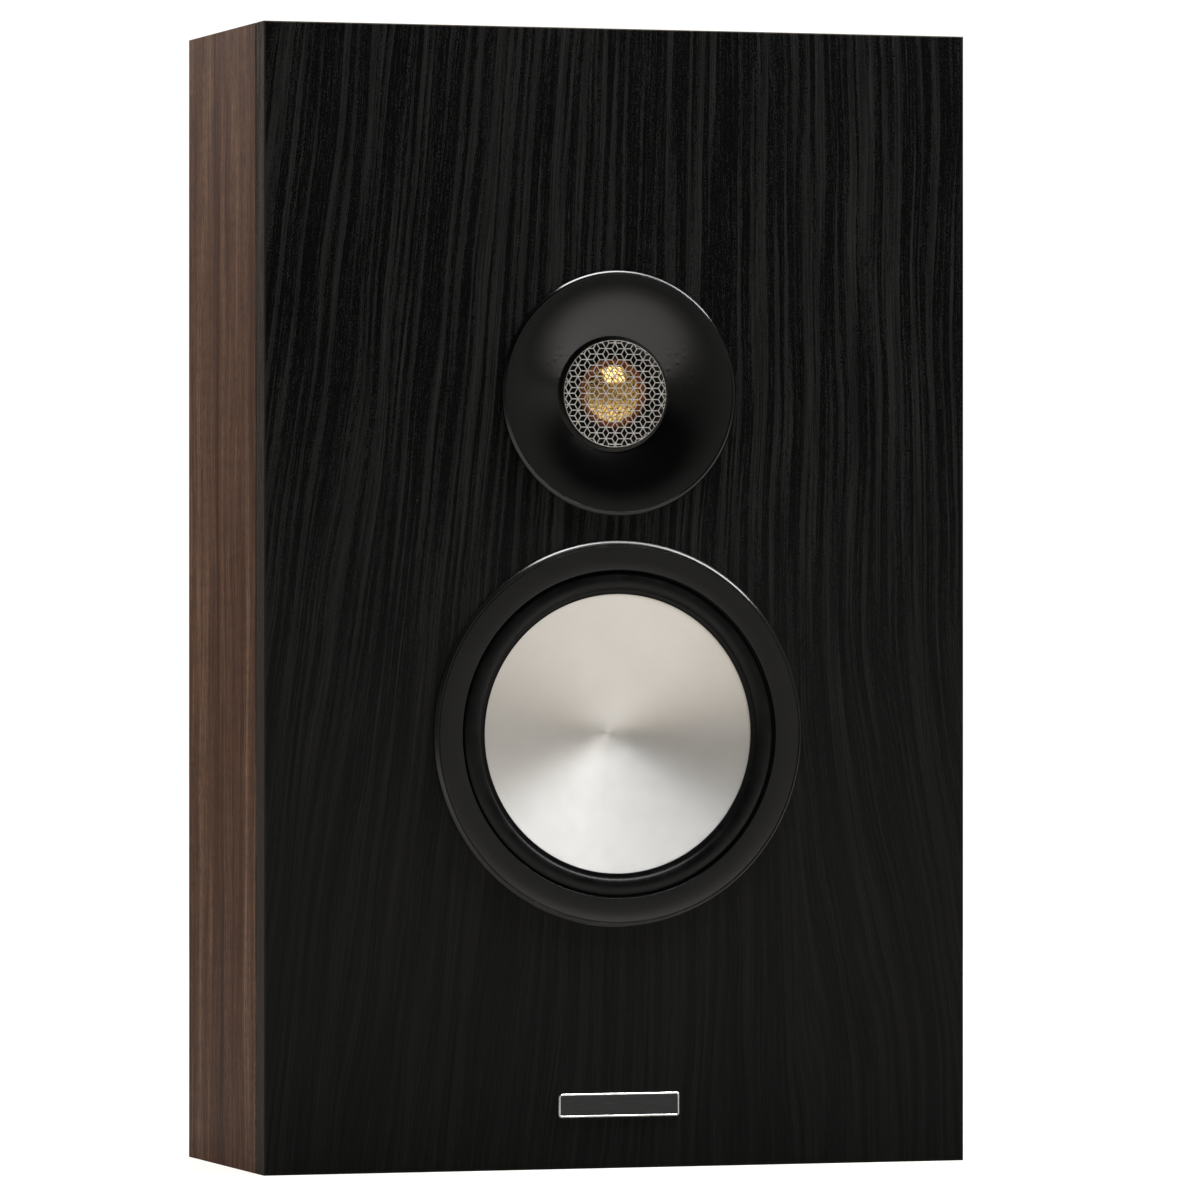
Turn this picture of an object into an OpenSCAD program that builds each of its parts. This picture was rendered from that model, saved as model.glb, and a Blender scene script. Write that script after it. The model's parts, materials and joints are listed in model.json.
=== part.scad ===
// Shallow two-way loudspeaker: a dome tweeter in a waveguide above a dished metal
// woofer, in a wood cabinet that stands on its base or hangs from two keyhole plates.
// The front faces -Y, +Z is up, and the origin is the centre of the whole part's base.

/* [Cabinet] */
// Width of the cabinet
cabinet_w = 290; // [286:1:310]
// Height of the cabinet
cabinet_h = 450; // [446:1:480]
// Depth of the cabinet, from the baffle's face to the back
cabinet_d = 116; // [114:1:130]
// Thickness of the folded side, top and bottom boards
board_t = 15; // [14:0.5:16]
// Thickness of the baffle's edge, as seen from the side
baffle_edge_t = 12.5; // [12:0.5:14]
// Thickness of the step that locates the baffle inside the boards
baffle_step_t = 6; // [5:0.5:7]
// Bevel that the baffle and the boards share at their shadow line
shadow_bevel = 1; // [0.6:0.1:1.2]
// Height that the trim rings stand proud of the baffle
trim_h = 2; // [1.8:0.1:2.4]
// Height of the rubber bumpers that stand off the wall
bumper_h = 3; // [2:0.5:5]

/* [Woofer] */
// Height of the woofer's centre
woofer_z = 171.5; // [169:0.5:173]
// Outer radius of the woofer's trim ring
woofer_trim_r = 76.3; // [76:0.1:77]
// Inner radius of the woofer's trim ring
woofer_trim_in_r = 64.9; // [64.6:0.1:65.4]
// Radius of the bright part of the cone
cone_r = 55.2; // [54.8:0.1:55.6]
// Depth of the cone's dish
cone_depth = 13.5; // [11:0.5:15]
// Radius over which the cone's apex is rounded
cone_nose_r = 8; // [6:1:20]
// Outer radius of the woofer's voice coil former
woofer_former_r = 16.2; // [16:0.1:16.4]
// Number of spokes and screws on the woofer's basket
woofer_spokes = 6; // [6]

/* [Tweeter] */
// Height of the tweeter's centre
tweeter_z = 306; // [303:0.5:312]
// Outer radius of the waveguide
waveguide_r = 48.4; // [48.2:0.1:49]
// Depth of the waveguide's flare, from its lip to its throat
waveguide_depth = 8.1; // [7.5:0.1:8.3]
// Radius of the grille over the dome
grille_r = 21.2; // [21:0.1:21.3]
// Distance between the stars of the grille's lattice
lattice_pitch = 4.45; // [4.2:0.05:4.8]
// Width of the lattice's bars
lattice_bar = 0.62; // [0.5:0.02:0.7]
// Radius of the metal dome
dome_r = 12.4; // [12.2:0.1:12.5]

/* [Terminals and wall fixing] */
// Height of the terminal cup's centre
terminal_z = 62; // [60:1:64]
// Distance between the two binding posts
post_spacing = 19.05; // [18.5:0.05:22]
// Radius of the sockets for 4 mm plugs
socket_r = 2.05; // [2.02:0.01:2.1]
// Depth of those sockets
socket_depth = 14; // [12:0.5:14]
// Height of the keyholes' round entries
keyhole_z = 392; // [388:1:396]
// Distance between the two keyhole plates
keyhole_spacing = 180; // [160:1:190]

/* [Hidden] */
$fn = 96;
eps = 0.01;

// Depths run from the baffle's face into the cabinet. face_y puts that face so that
// the trim rings and the bumpers reach equally far from the origin.
face_y = trim_h - (trim_h + cabinet_d + bumper_h) / 2;
rear_d = cabinet_d;
inner_w = cabinet_w - 2 * board_t;
inner_h = cabinet_h - 2 * board_t;
baffle_t = baffle_edge_t + baffle_step_t;
front_bevel = 0.5;
rear_panel_t = 15;
rear_inner_d = rear_d - rear_panel_t;

// Screws that hold the drivers.
screw_r = 1.6;
screw_head_r = 3.2;
screw_hole_r = 1.7;

// Woofer, as radii and depths.
woofer_rebate_r = 74.5;
woofer_rebate_d = 5;
woofer_hole_r = 64;
flange_r = 74;
flange_in_r = 60;
flange_d = 1;
flange_t = 3.2;
cone_rim_r = 57;
cone_t = 0.4;
surround_out_r = 64.4;
surround_land_r = 68;
surround_t = 0.7;
surround_crest_d = -1.9;
former_t = 0.3;
former_end_d = 54;
woofer_coil_t = 0.8;
woofer_coil_d = [43, 54];
spider_d = 33;
spider_ring_r = 38.5;
spider_out_r = 42;
spider_t = 0.5;
spider_amplitude = 1.4;
spider_pitch = 4.4;
basket_ledge_d = 33.5;
basket_end_d = 46;
motor_r = 45.5;
woofer_plate_t = 5;
woofer_magnet_t = 16;
woofer_yoke_t = 6;
woofer_screw_r = 70.4;

// Tweeter, as radii and depths.
tweeter_rebate_r = 46.4;
tweeter_rebate_d = 8;
tweeter_hole_r = 35.6;
throat_r = 21.6;
lip_in_r = 46.7;
lip_in_d = -1.6;
waveguide_t = 2.4;
grille_d = 4.7;
grille_t = 0.6;
dome_h = 3.1;
dome_gap = 0.7;
dome_d = grille_d + grille_t + dome_gap + dome_h;
dome_t = 0.2;
chassis_d = dome_d + 0.4;
tweeter_former_r = 12.75;
tweeter_motor_d = chassis_d + 3;
tweeter_flange_d = 4.5;
tweeter_flange_t = 2.7;
tweeter_flange_r = 45.5;
tweeter_yoke_r = 29;
tweeter_screw_r = 40.5;

// Crossover, on the inside of the rear panel.
board_size = [160, 74];
board_z = 385;
board_d = 92;
pcb_t = 1.6;
woofer_inductor = [-52, 385];
tweeter_inductor = [-12, 394];

// Terminal cup and posts.
cup_inner = [84, 60];
cup_wall = 2.5;
cup_flange = [104, 80];
cup_floor_d = 86.5;
cup_corner_r = 6;
terminal_gasket_t = 0.8;
insulator_t = 3.5;
collar_t = 2;
post_r = 3.5;
post_end_d = 109.5;
post_stud_r = 2.5;
post_stud_end_d = 72;
cap_r = 7.5;
cap_end_d = 110.4;
washer_d = cup_floor_d + insulator_t + collar_t + 0.1;
washer_t = 1.2;
cap_d = washer_d + washer_t + 0.1;
rear_screw_len = 13;
rear_screw_r = 1.5;
rear_screw_head_r = 3;
rear_pilot_r = 1.85;

// ---------- helpers ----------

// Puts a shape drawn about Z, with Z as depth, on the baffle at height z.
module at_depth(x, z) translate([x, face_y, z]) rotate([-90, 0, 0]) children();

// A turned part from an outline of [radius, depth] points.
module turned(points) rotate_extrude() polygon(points);

// A ring from one depth to another.
module ring(inner_r, outer_r, d0, d1)
    turned([[inner_r, d0], [outer_r, d0], [outer_r, d1], [inner_r, d1]]);

function reversed(list) = [for (i = [len(list) - 1 : -1 : 0]) list[i]];

function arc(centre, radii, from, to, steps) = [
    for (i = [0 : steps])
        let (a = from + (to - from) * i / steps)
            [centre[0] + radii[0] * cos(a), centre[1] + radii[1] * sin(a)]
];

// A rectangle with round corners, centred.
module round_rect(size, r) {
    square([size[0] - 2 * r, size[1]], center = true);
    square([size[0], size[1] - 2 * r], center = true);
    for (x = [-1, 1], y = [-1, 1])
        translate([x * (size[0] / 2 - r), y * (size[1] / 2 - r)]) circle(r);
}

// A countersunk screw along Z: its flat head's face is at 0 and its point at len.
module countersunk_screw(head_r, shank_r, len) {
    difference() {
        turned([
            [0, 0], [head_r, 0], [head_r, 0.3], [shank_r, head_r - shank_r + 0.3],
            [shank_r, len - 2], [0.4, len], [0, len]
        ]);
        for (a = [0, 90])
            rotate(a) translate([-head_r * 0.55, -0.4, -1]) cube([head_r * 1.1, 0.8, 2.2]);
    }
}

// The hole for such a screw, with a little room round its head.
module countersunk_hole(head_r, hole_r, len) {
    turned([
        [0, -1], [head_r + 0.1, -1], [head_r + 0.1, 0.35],
        [hole_r, head_r - hole_r + 0.45], [hole_r, len], [0, len]
    ]);
}

// A round wire swept along a smooth curve through a route's points.
function blend_point(a, b, c, d, t) = 0.5 * (
    2 * b + (c - a) * t + (2 * a - 5 * b + 4 * c - d) * t * t
    + (3 * b - a - 3 * c + d) * t * t * t
);
function smooth_route(p, steps) = [
    for (i = [0 : len(p) - 2], k = [0 : steps - 1])
        blend_point(p[max(i - 1, 0)], p[i], p[i + 1], p[min(i + 2, len(p) - 1)], k / steps),
    p[len(p) - 1]
];
function unit(v) = v / norm(v);
module wire(route, r, steps = 5, sides = 8) {
    p = smooth_route(route, steps);
    n = len(p);
    rings = [
        for (i = [0 : n - 1])
            let (
                along = unit(p[min(i + 1, n - 1)] - p[max(i - 1, 0)]),
                side = unit(cross(along, [1, 0.1, 0.05])),
                up = cross(along, side)
            )
                for (k = [0 : sides - 1])
                    p[i] + r * (cos(360 * k / sides) * side + sin(360 * k / sides) * up)
    ];
    walls = [
        for (i = [0 : n - 2], k = [0 : sides - 1])
            let (a = i * sides + k, b = i * sides + (k + 1) % sides)
                each [[a, a + sides, b], [b, a + sides, b + sides]]
    ];
    ends = [
        [for (k = [0 : sides - 1]) k],
        [for (k = [sides - 1 : -1 : 0]) (n - 1) * sides + k]
    ];
    polyhedron(points = rings, faces = concat(walls, ends));
}

// ---------- cabinet ----------

// A board in X and Z whose four long edges are bevelled at the front and the back.
module bevelled_board(w, h, t, front, rear) {
    intersection() {
        linear_extrude(h) polygon([
            [-w / 2 + front, 0], [w / 2 - front, 0], [w / 2, front], [w / 2, t - rear],
            [w / 2 - rear, t], [-w / 2 + rear, t], [-w / 2, t - rear], [-w / 2, front]
        ]);
        translate([-w / 2, 0, 0]) rotate([90, 0, 90]) linear_extrude(w) polygon([
            [0, front], [front, 0], [t - rear, 0], [t, rear],
            [t, h - rear], [t - rear, h], [front, h], [0, h - front]
        ]);
    }
}

module driver_cutout(z, rebate_r, rebate_depth, hole_r) at_depth(0, z) {
    translate([0, 0, -1]) cylinder(r = rebate_r, h = rebate_depth + 1);
    cylinder(r = hole_r, h = baffle_t + 1);
}

module front_baffle() color([0.09, 0.09, 0.085]) difference() {
    union() {
        translate([0, face_y, 0])
            bevelled_board(cabinet_w, cabinet_h, baffle_edge_t, front_bevel, shadow_bevel);
        translate([-inner_w / 2, face_y + baffle_edge_t - eps, board_t])
            cube([inner_w, baffle_step_t + eps, inner_h]);
    }
    driver_cutout(woofer_z, woofer_rebate_r, woofer_rebate_d, woofer_hole_r);
    driver_cutout(tweeter_z, tweeter_rebate_r, tweeter_rebate_d, tweeter_hole_r);
    at_depth(0, woofer_z) spread(woofer_spokes, woofer_screw_r, 30)
        cylinder(r = screw_r, h = baffle_t - 1);
    at_depth(0, tweeter_z) spread(4, tweeter_screw_r, 45)
        cylinder(r = screw_r, h = baffle_t - 1);
}

// Copies round a circle of radius r, starting at an angle.
module spread(count, r, start) for (i = [0 : count - 1])
    rotate(start + 360 * i / count) translate([r, 0, 0]) children();

// The outline in X and depth of a board whose outer face is at x = 0.
function board_outline(depth) = [
    [shadow_bevel, 0], [board_t, 0], [board_t, depth], [shadow_bevel, depth],
    [0, depth - shadow_bevel], [0, shadow_bevel]
];
wrap_depth = cabinet_d - baffle_edge_t;
wrap_y = face_y + baffle_edge_t;

// One side board, with its ends mitred to the top and bottom boards.
module side_board() intersection() {
    translate([-cabinet_w / 2, wrap_y, 0])
        linear_extrude(cabinet_h) polygon(board_outline(wrap_depth));
    translate([-cabinet_w / 2, wrap_y + wrap_depth, 0]) rotate([90, 0, 0])
        linear_extrude(wrap_depth) polygon([
            [0, 0], [board_t, board_t], [board_t, cabinet_h - board_t], [0, cabinet_h]
        ]);
}

// The bottom board, with its ends mitred to the side boards.
module end_board() intersection() {
    translate([cabinet_w / 2, wrap_y, 0]) rotate([0, -90, 0])
        linear_extrude(cabinet_w) polygon(board_outline(wrap_depth));
    translate([-cabinet_w / 2, wrap_y + wrap_depth, 0]) rotate([90, 0, 0])
        linear_extrude(wrap_depth) polygon([
            [0, 0], [cabinet_w, 0], [cabinet_w - board_t, board_t], [board_t, board_t]
        ]);
}

module side_panel_left() color([0.32, 0.23, 0.17]) side_board();
module side_panel_right() color([0.32, 0.23, 0.17]) mirror([1, 0, 0]) side_board();
module bottom_panel() color([0.32, 0.23, 0.17]) end_board();
module top_panel() color([0.32, 0.23, 0.17])
    translate([0, 0, cabinet_h]) mirror([0, 0, 1]) end_board();

module rear_panel() color([0.10, 0.10, 0.10]) difference() {
    translate([-inner_w / 2, face_y + rear_inner_d, board_t])
        cube([inner_w, rear_panel_t, inner_h]);
    at_depth(0, terminal_z) {
        translate([0, 0, cup_floor_d]) linear_extrude(40)
            round_rect([cup_inner[0] + 2 * cup_wall + 0.4, cup_inner[1] + 2 * cup_wall + 0.4],
                cup_corner_r + cup_wall);
        translate([0, 0, rear_d - cup_wall - terminal_gasket_t]) linear_extrude(10)
            round_rect([cup_flange[0] + 0.4, cup_flange[1] + 0.4], cup_corner_r);
    }
    for (x = [-1, 1]) at_depth(x * keyhole_spacing / 2, keyhole_z) {
        translate([0, -6, rear_d - keyhole_plate_t]) linear_extrude(5)
            round_rect([keyhole_plate[0] + 0.3, keyhole_plate[1] + 0.3], 3);
        translate([0, -6, rear_d - keyhole_plate_t - 9]) linear_extrude(12)
            round_rect(keyhole_pocket, 3);
    }
    rear_screw_places() translate([0, 0, -rear_screw_len - 0.5])
        cylinder(r = rear_pilot_r, h = rear_screw_len + 1);
    for (x = [-1, 1], z = [-1, 1]) at_depth(x * standoff_place[0], board_z + z * standoff_place[1])
        translate([0, 0, rear_inner_d - 1]) cylinder(r = 1.6, h = 10);
}

module internal_brace() color([0.72, 0.58, 0.42]) difference() {
    translate([-inner_w / 2, face_y + baffle_t, brace_z])
        cube([inner_w, rear_inner_d - baffle_t, brace_t]);
    for (x = [-1, 1]) translate([x * 54, face_y + (baffle_t + rear_inner_d) / 2, brace_z - 1])
        linear_extrude(brace_t + 2) round_rect([84, 46], 10);
}
brace_t = 10;
brace_z = 246;

// Foam pads on the inside of the side boards, clear of the brace.
foam_t = 16;
module acoustic_foam() color([0.18, 0.18, 0.19])
    for (x = [-1, 1], span = [[40, 232], [266, 425]])
        translate([x * (inner_w / 2 - foam_t / 2), face_y + 60, (span[0] + span[1]) / 2])
            cube([foam_t, 70, span[1] - span[0]], center = true);

// A blank badge plate with bevelled edges.
badge_size = [50, 9.4];
badge_z = 25;
badge_t = 0.8;
module name_badge() color([0.55, 0.55, 0.54]) at_depth(0, badge_z)
    translate([0, 0, -badge_t]) linear_extrude(badge_t) round_rect(badge_size, 1.2);

// ---------- woofer ----------

function cone_bend(r) = sqrt(1 + pow(r / cone_nose_r, 2));
function cone_surface(r) = flange_d
    + cone_depth * (cone_bend(cone_r) - cone_bend(r)) / (cone_bend(cone_r) - 1);

module woofer_trim_ring() color([0.13, 0.13, 0.13]) at_depth(0, woofer_z) turned([
    [woofer_trim_r, 0], [woofer_trim_r, -0.8], [woofer_trim_r - 1.2, -trim_h],
    [woofer_trim_r - 1.4, -trim_h], [woofer_trim_r - 1.6, -trim_h + 0.4],
    [woofer_trim_r - 1.9, -trim_h + 0.4], [woofer_trim_r - 2.1, -trim_h + 0.05],
    [woofer_trim_in_r + 0.5, -trim_h + 0.8], [woofer_trim_in_r, -trim_h + 1.2],
    [woofer_trim_in_r, flange_d - surround_t],
    [woofer_trim_in_r + 1.6, flange_d - surround_t],
    [woofer_trim_in_r + 1.6, -0.1], [woofer_rebate_r + 0.1, -0.3],
    [woofer_rebate_r + 0.1, 0]
]);

// A half roll between two flat lands, one on the cone's rim and one on the basket.
roll_c = (cone_rim_r + surround_out_r) / 2;
roll_w = (surround_out_r - cone_rim_r) / 2;
roll_h = flange_d - surround_t - surround_crest_d;
module woofer_surround() color([0.06, 0.06, 0.06]) at_depth(0, woofer_z) turned(concat(
    [[cone_r, flange_d - surround_t]],
    arc([roll_c, flange_d - surround_t], [roll_w, -roll_h], 180, 0, 14),
    [[surround_land_r, flange_d - surround_t], [surround_land_r, flange_d]],
    arc([roll_c, flange_d], [roll_w - 0.6, -roll_h], 0, 180, 14),
    [[cone_r, flange_d]]
));

module woofer_cone() color([0.75, 0.74, 0.71]) at_depth(0, woofer_z) {
    front = [for (i = [0 : 16]) let (r = cone_r * i / 16) [r, cone_surface(r)]];
    rear = [for (i = [0 : 16]) let (r = cone_r * i / 16) [r, cone_surface(r) + cone_t]];
    turned(concat(front, [[cone_rim_r, flange_d], [cone_rim_r, flange_d + cone_t]],
        reversed(rear)));
}

module woofer_coil_former() color([0.80, 0.65, 0.35]) at_depth(0, woofer_z)
    ring(woofer_former_r - former_t, woofer_former_r,
        cone_surface(woofer_former_r - former_t) + cone_t + 0.05, former_end_d);

module woofer_voice_coil() color([0.72, 0.38, 0.18]) at_depth(0, woofer_z)
    ring(woofer_former_r, woofer_former_r + woofer_coil_t, woofer_coil_d[0], woofer_coil_d[1]);

// A corrugated disc from the former to the basket's ledge.
function spider_wave(r) = spider_d - spider_t
    + spider_amplitude * sin(360 * (r - woofer_former_r) / spider_pitch);
module woofer_spider() color([0.75, 0.55, 0.25]) at_depth(0, woofer_z) {
    steps = 50;
    in_r = woofer_former_r + 0.05;
    top = [for (i = [0 : steps])
        let (r = in_r + (spider_ring_r - 0.5 - in_r) * i / steps) [r, spider_wave(r)]];
    turned(concat(top,
        [[spider_ring_r, basket_ledge_d - spider_t], [spider_out_r, basket_ledge_d - spider_t],
            [spider_out_r, basket_ledge_d], [spider_ring_r, basket_ledge_d]],
        reversed([for (p = top) [p[0], p[1] + spider_t]])));
}

module woofer_basket() color([0.16, 0.16, 0.17]) at_depth(0, woofer_z) difference() {
    union() {
        ring(flange_in_r, flange_r, flange_d, flange_d + flange_t);
        turned([
            [spider_ring_r, basket_ledge_d], [motor_r, basket_ledge_d],
            [motor_r, basket_end_d], [20, basket_end_d], [20, basket_end_d - 2],
            [motor_r - 2, basket_end_d - 2], [motor_r - 2, basket_ledge_d + 2.5],
            [spider_ring_r, basket_ledge_d + 2.5]
        ]);
        spread(woofer_spokes, 0, 0) rotate([90, 0, 0])
            translate([0, 0, -4.5]) linear_extrude(9) polygon([
                [flange_in_r + 0.2, flange_d + 1], [woofer_hole_r - 0.4, flange_d + 1],
                [woofer_hole_r - 0.4, 11], [motor_r - 0.2, basket_ledge_d + 4],
                [motor_r - 1.8, basket_ledge_d + 0.2], [motor_r - 3.5, basket_ledge_d + 0.2],
                [flange_in_r + 0.2, 9]
            ]);
        translate([-9, -motor_r - 0.5, basket_ledge_d + 1]) cube([18, 3, 10]);
    }
    spread(woofer_spokes, woofer_screw_r, 30) translate([0, 0, flange_d])
        countersunk_hole(screw_head_r, screw_hole_r, 10);
}

module woofer_top_plate() color([0.62, 0.62, 0.60]) at_depth(0, woofer_z)
    ring(17.8, 42, basket_end_d, basket_end_d + woofer_plate_t);

woofer_magnet_d = basket_end_d + woofer_plate_t;
module woofer_magnet() color([0.20, 0.20, 0.21]) at_depth(0, woofer_z) turned([
    [22, woofer_magnet_d], [motor_r - 1, woofer_magnet_d], [motor_r, woofer_magnet_d + 1],
    [motor_r, woofer_magnet_d + woofer_magnet_t - 1],
    [motor_r - 1, woofer_magnet_d + woofer_magnet_t], [22, woofer_magnet_d + woofer_magnet_t]
]);

woofer_yoke_d = woofer_magnet_d + woofer_magnet_t;
module woofer_yoke() color([0.62, 0.62, 0.60]) at_depth(0, woofer_z) turned([
    [5, basket_end_d], [14.2, basket_end_d], [15.2, basket_end_d + 1], [15.2, woofer_yoke_d],
    [42, woofer_yoke_d], [42, woofer_yoke_d + woofer_yoke_t - 1],
    [41, woofer_yoke_d + woofer_yoke_t], [8, woofer_yoke_d + woofer_yoke_t],
    [5, woofer_yoke_d + woofer_yoke_t - 3]
]);

// The board that carries the woofer's tags, on a pad above the motor.
module woofer_terminal_board() color([0.35, 0.20, 0.10]) at_depth(0, woofer_z)
    translate([-13, -motor_r - 2.3, basket_ledge_d]) cube([26, 1.8, 14]);

// Two flexible braids from the former to the terminal board.
lead_route = [
    [5.3, -16.2, 22], [7, -22, 25.5], [8, -32, 25.5], [8, -40, 25.5], [8, -45.5, 28],
    [8, -46.9, 33.4]
];
module woofer_lead_wires() color([0.70, 0.45, 0.25]) at_depth(0, woofer_z)
    for (x = [-1, 1]) wire([for (p = lead_route) [x * p[0], p[1], p[2]]], 0.6, 4);

// ---------- tweeter ----------

function flare(r) = lip_in_d + waveguide_depth * pow((lip_in_r - r) / (lip_in_r - throat_r), 2);
module tweeter_waveguide() color([0.11, 0.11, 0.11]) at_depth(0, tweeter_z) {
    steps = 14;
    flare_r = [for (i = [0 : steps]) lip_in_r + (throat_r - lip_in_r) * i / steps];
    front = [for (r = flare_r) [r, flare(r)]];
    rear = [for (r = flare_r) if (r < tweeter_rebate_r - 2 && r > throat_r + 4)
        [r, flare(r) + waveguide_t]];
    turned(concat(
        [[waveguide_r, 0], [waveguide_r, -1], [waveguide_r - 0.9, -trim_h],
            [lip_in_r + 0.3, -trim_h]],
        front,
        [[throat_r, chassis_d], [throat_r + 3.4, chassis_d],
            [throat_r + 3.4, flare(throat_r + 4) + waveguide_t]],
        reversed(rear),
        [[tweeter_rebate_r - 1.8, 1], [tweeter_rebate_r - 1.8, 3.5],
            [tweeter_rebate_r - 0.1, 3.5], [tweeter_rebate_r - 0.1, 0]]
    ));
}

// One rhombic hole of the lattice, with its long diagonal along Y.
module lattice_hole() {
    half_l = lattice_pitch / 2 - lattice_bar;
    half_s = lattice_pitch / (2 * sqrt(3)) - lattice_bar / sqrt(3);
    polygon([[0, -half_l], [half_s, 0], [0, half_l], [-half_s, 0]]);
}

// Stars of six bars on a triangular grid: each gap between two stars is one hole.
module tweeter_grille() color([0.60, 0.60, 0.59]) at_depth(0, tweeter_z) {
    count = ceil(grille_r / lattice_pitch) + 2;
    hole_r = grille_r - 0.5;
    translate([0, 0, grille_d]) linear_extrude(grille_t) difference() {
        circle(grille_r);
        intersection() {
            circle(hole_r);
            for (i = [-count : count], j = [-count : count], a = [0, 60, 120]) {
                star = [i * lattice_pitch * sqrt(3) / 2, (j + 0.5 + (abs(i) % 2) / 2) * lattice_pitch];
                centre = star + lattice_pitch / 2 * [-sin(a), cos(a)];
                if (norm(centre) < hole_r + 0.2)
                    translate(centre) rotate(a) lattice_hole();
            }
        }
    }
    ring(grille_r - 0.5, grille_r, grille_d + grille_t - eps, chassis_d);
}

dome_ball_r = (dome_r * dome_r + dome_h * dome_h) / (2 * dome_h);
dome_half_angle = asin(dome_r / dome_ball_r);
dome_centre_d = dome_d + dome_ball_r - dome_h;
module tweeter_dome() color([0.80, 0.58, 0.25]) at_depth(0, tweeter_z) turned(concat(
    arc([0, dome_centre_d], [dome_ball_r, -dome_ball_r], 90, 90 - dome_half_angle, 12),
    [[dome_r + 0.55, dome_d], [dome_r + 0.55, dome_d + dome_t], [dome_r, dome_d + dome_t]],
    arc([0, dome_centre_d], [dome_ball_r - dome_t, -(dome_ball_r - dome_t)],
        90 - dome_half_angle + 1, 90, 12)
));

// A small roll between the dome's rim and the chassis.
tweeter_roll_c = dome_r + 1.9;
module tweeter_surround() color([0.30, 0.12, 0.06]) at_depth(0, tweeter_z) turned(concat(
    [[dome_r + 0.05, dome_d - 0.35]],
    arc([tweeter_roll_c, dome_d - 0.35], [1.3, -1.1], 180, 0, 8),
    [[19.5, chassis_d - 0.4], [19.5, chassis_d],
        [tweeter_roll_c + 1.5, chassis_d]],
    arc([tweeter_roll_c, dome_d - 0.05], [1, -1], 0, 180, 8),
    [[dome_r + 0.05, dome_d - 0.05]]
));

module tweeter_coil_former() color([0.78, 0.78, 0.76]) at_depth(0, tweeter_z)
    ring(tweeter_former_r - 0.15, tweeter_former_r, dome_d + dome_t, tweeter_motor_d + 4);

module tweeter_voice_coil() color([0.72, 0.38, 0.18]) at_depth(0, tweeter_z)
    ring(tweeter_former_r, tweeter_former_r + 0.45, tweeter_motor_d + 0.2, tweeter_motor_d + 3);

tweeter_flange_end_d = tweeter_flange_d + tweeter_flange_t;
module tweeter_chassis() color([0.10, 0.10, 0.10]) at_depth(0, tweeter_z) difference() {
    turned([
        [15.6, chassis_d], [31, chassis_d], [31, tweeter_flange_d],
        [tweeter_flange_r, tweeter_flange_d], [tweeter_flange_r, tweeter_flange_end_d],
        [35, tweeter_flange_end_d], [35, tweeter_motor_d], [15.6, tweeter_motor_d]
    ]);
    spread(4, tweeter_screw_r, 45) translate([0, 0, tweeter_flange_d])
        countersunk_hole(screw_head_r, screw_hole_r, 10);
}

module tweeter_top_plate() color([0.62, 0.62, 0.60]) at_depth(0, tweeter_z)
    ring(13.8, 26, tweeter_motor_d, tweeter_motor_d + 3);

module tweeter_magnet() color([0.25, 0.25, 0.26]) at_depth(0, tweeter_z)
    ring(17, 28, tweeter_motor_d + 3, tweeter_motor_d + 10);

module tweeter_yoke() color([0.62, 0.62, 0.60]) at_depth(0, tweeter_z) turned([
    [5, tweeter_motor_d], [12, tweeter_motor_d], [12, tweeter_motor_d + 10],
    [tweeter_yoke_r, tweeter_motor_d + 10], [tweeter_yoke_r, tweeter_motor_d + 14],
    [5, tweeter_motor_d + 14]
]);

chamber_d = tweeter_motor_d + 14;
chamber_end_d = chamber_d + 18;
module tweeter_rear_chamber() color([0.12, 0.12, 0.12]) at_depth(0, tweeter_z) turned([
    [tweeter_yoke_r - 2, chamber_d], [tweeter_yoke_r, chamber_d],
    [tweeter_yoke_r, chamber_end_d - 2], [tweeter_yoke_r - 2, chamber_end_d],
    [0, chamber_end_d], [0, chamber_end_d - 2], [tweeter_yoke_r - 2.8, chamber_end_d - 2],
    [tweeter_yoke_r - 2, chamber_end_d - 2.8]
]);

// ---------- driver fixings ----------

module woofer_gasket() color([0.10, 0.10, 0.11]) at_depth(0, woofer_z) difference() {
    ring(woofer_hole_r + 0.5, flange_r, flange_d + flange_t, woofer_rebate_d);
    spread(woofer_spokes, woofer_screw_r, 30) cylinder(r = screw_hole_r, h = 10);
}

module tweeter_gasket() color([0.10, 0.10, 0.11]) at_depth(0, tweeter_z) difference() {
    ring(tweeter_hole_r + 0.4, tweeter_flange_r, tweeter_flange_end_d, tweeter_rebate_d);
    spread(4, tweeter_screw_r, 45) cylinder(r = screw_hole_r, h = 10);
}

module woofer_screws() color([0.20, 0.20, 0.20]) at_depth(0, woofer_z)
    spread(woofer_spokes, woofer_screw_r, 30) translate([0, 0, flange_d + 0.05])
        countersunk_screw(screw_head_r, screw_r, 14);

module tweeter_screws() color([0.20, 0.20, 0.20]) at_depth(0, tweeter_z)
    spread(4, tweeter_screw_r, 45) translate([0, 0, tweeter_flange_d + 0.05])
        countersunk_screw(screw_head_r, screw_r, 12);

// Push-on tags: two on the woofer's board, two on the tweeter, two on the posts.
module terminal_tags() color([0.80, 0.65, 0.35]) {
    at_depth(0, woofer_z) for (x = [-1, 1])
        translate([x * 8 - 2.4, -motor_r - 3.1, basket_ledge_d + 3]) cube([4.8, 0.8, 18]);
    at_depth(0, tweeter_z) for (x = [-1, 1])
        translate([x * 9 - 1.4, 31, tweeter_motor_d]) cube([2.8, 0.8, 9]);
    for (x = [-1, 1]) at_depth(x * post_spacing / 2, terminal_z) difference() {
        union() {
            translate([0, 0, cup_floor_d - cup_wall - 0.8]) cylinder(r = 4.5, h = 0.8);
            translate([-2.4, -13, cup_floor_d - cup_wall - 0.8]) cube([4.8, 13, 0.8]);
        }
        translate([0, 0, post_stud_end_d]) cylinder(r = post_stud_r + 0.05, h = 20);
    }
}

// ---------- crossover ----------

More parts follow.
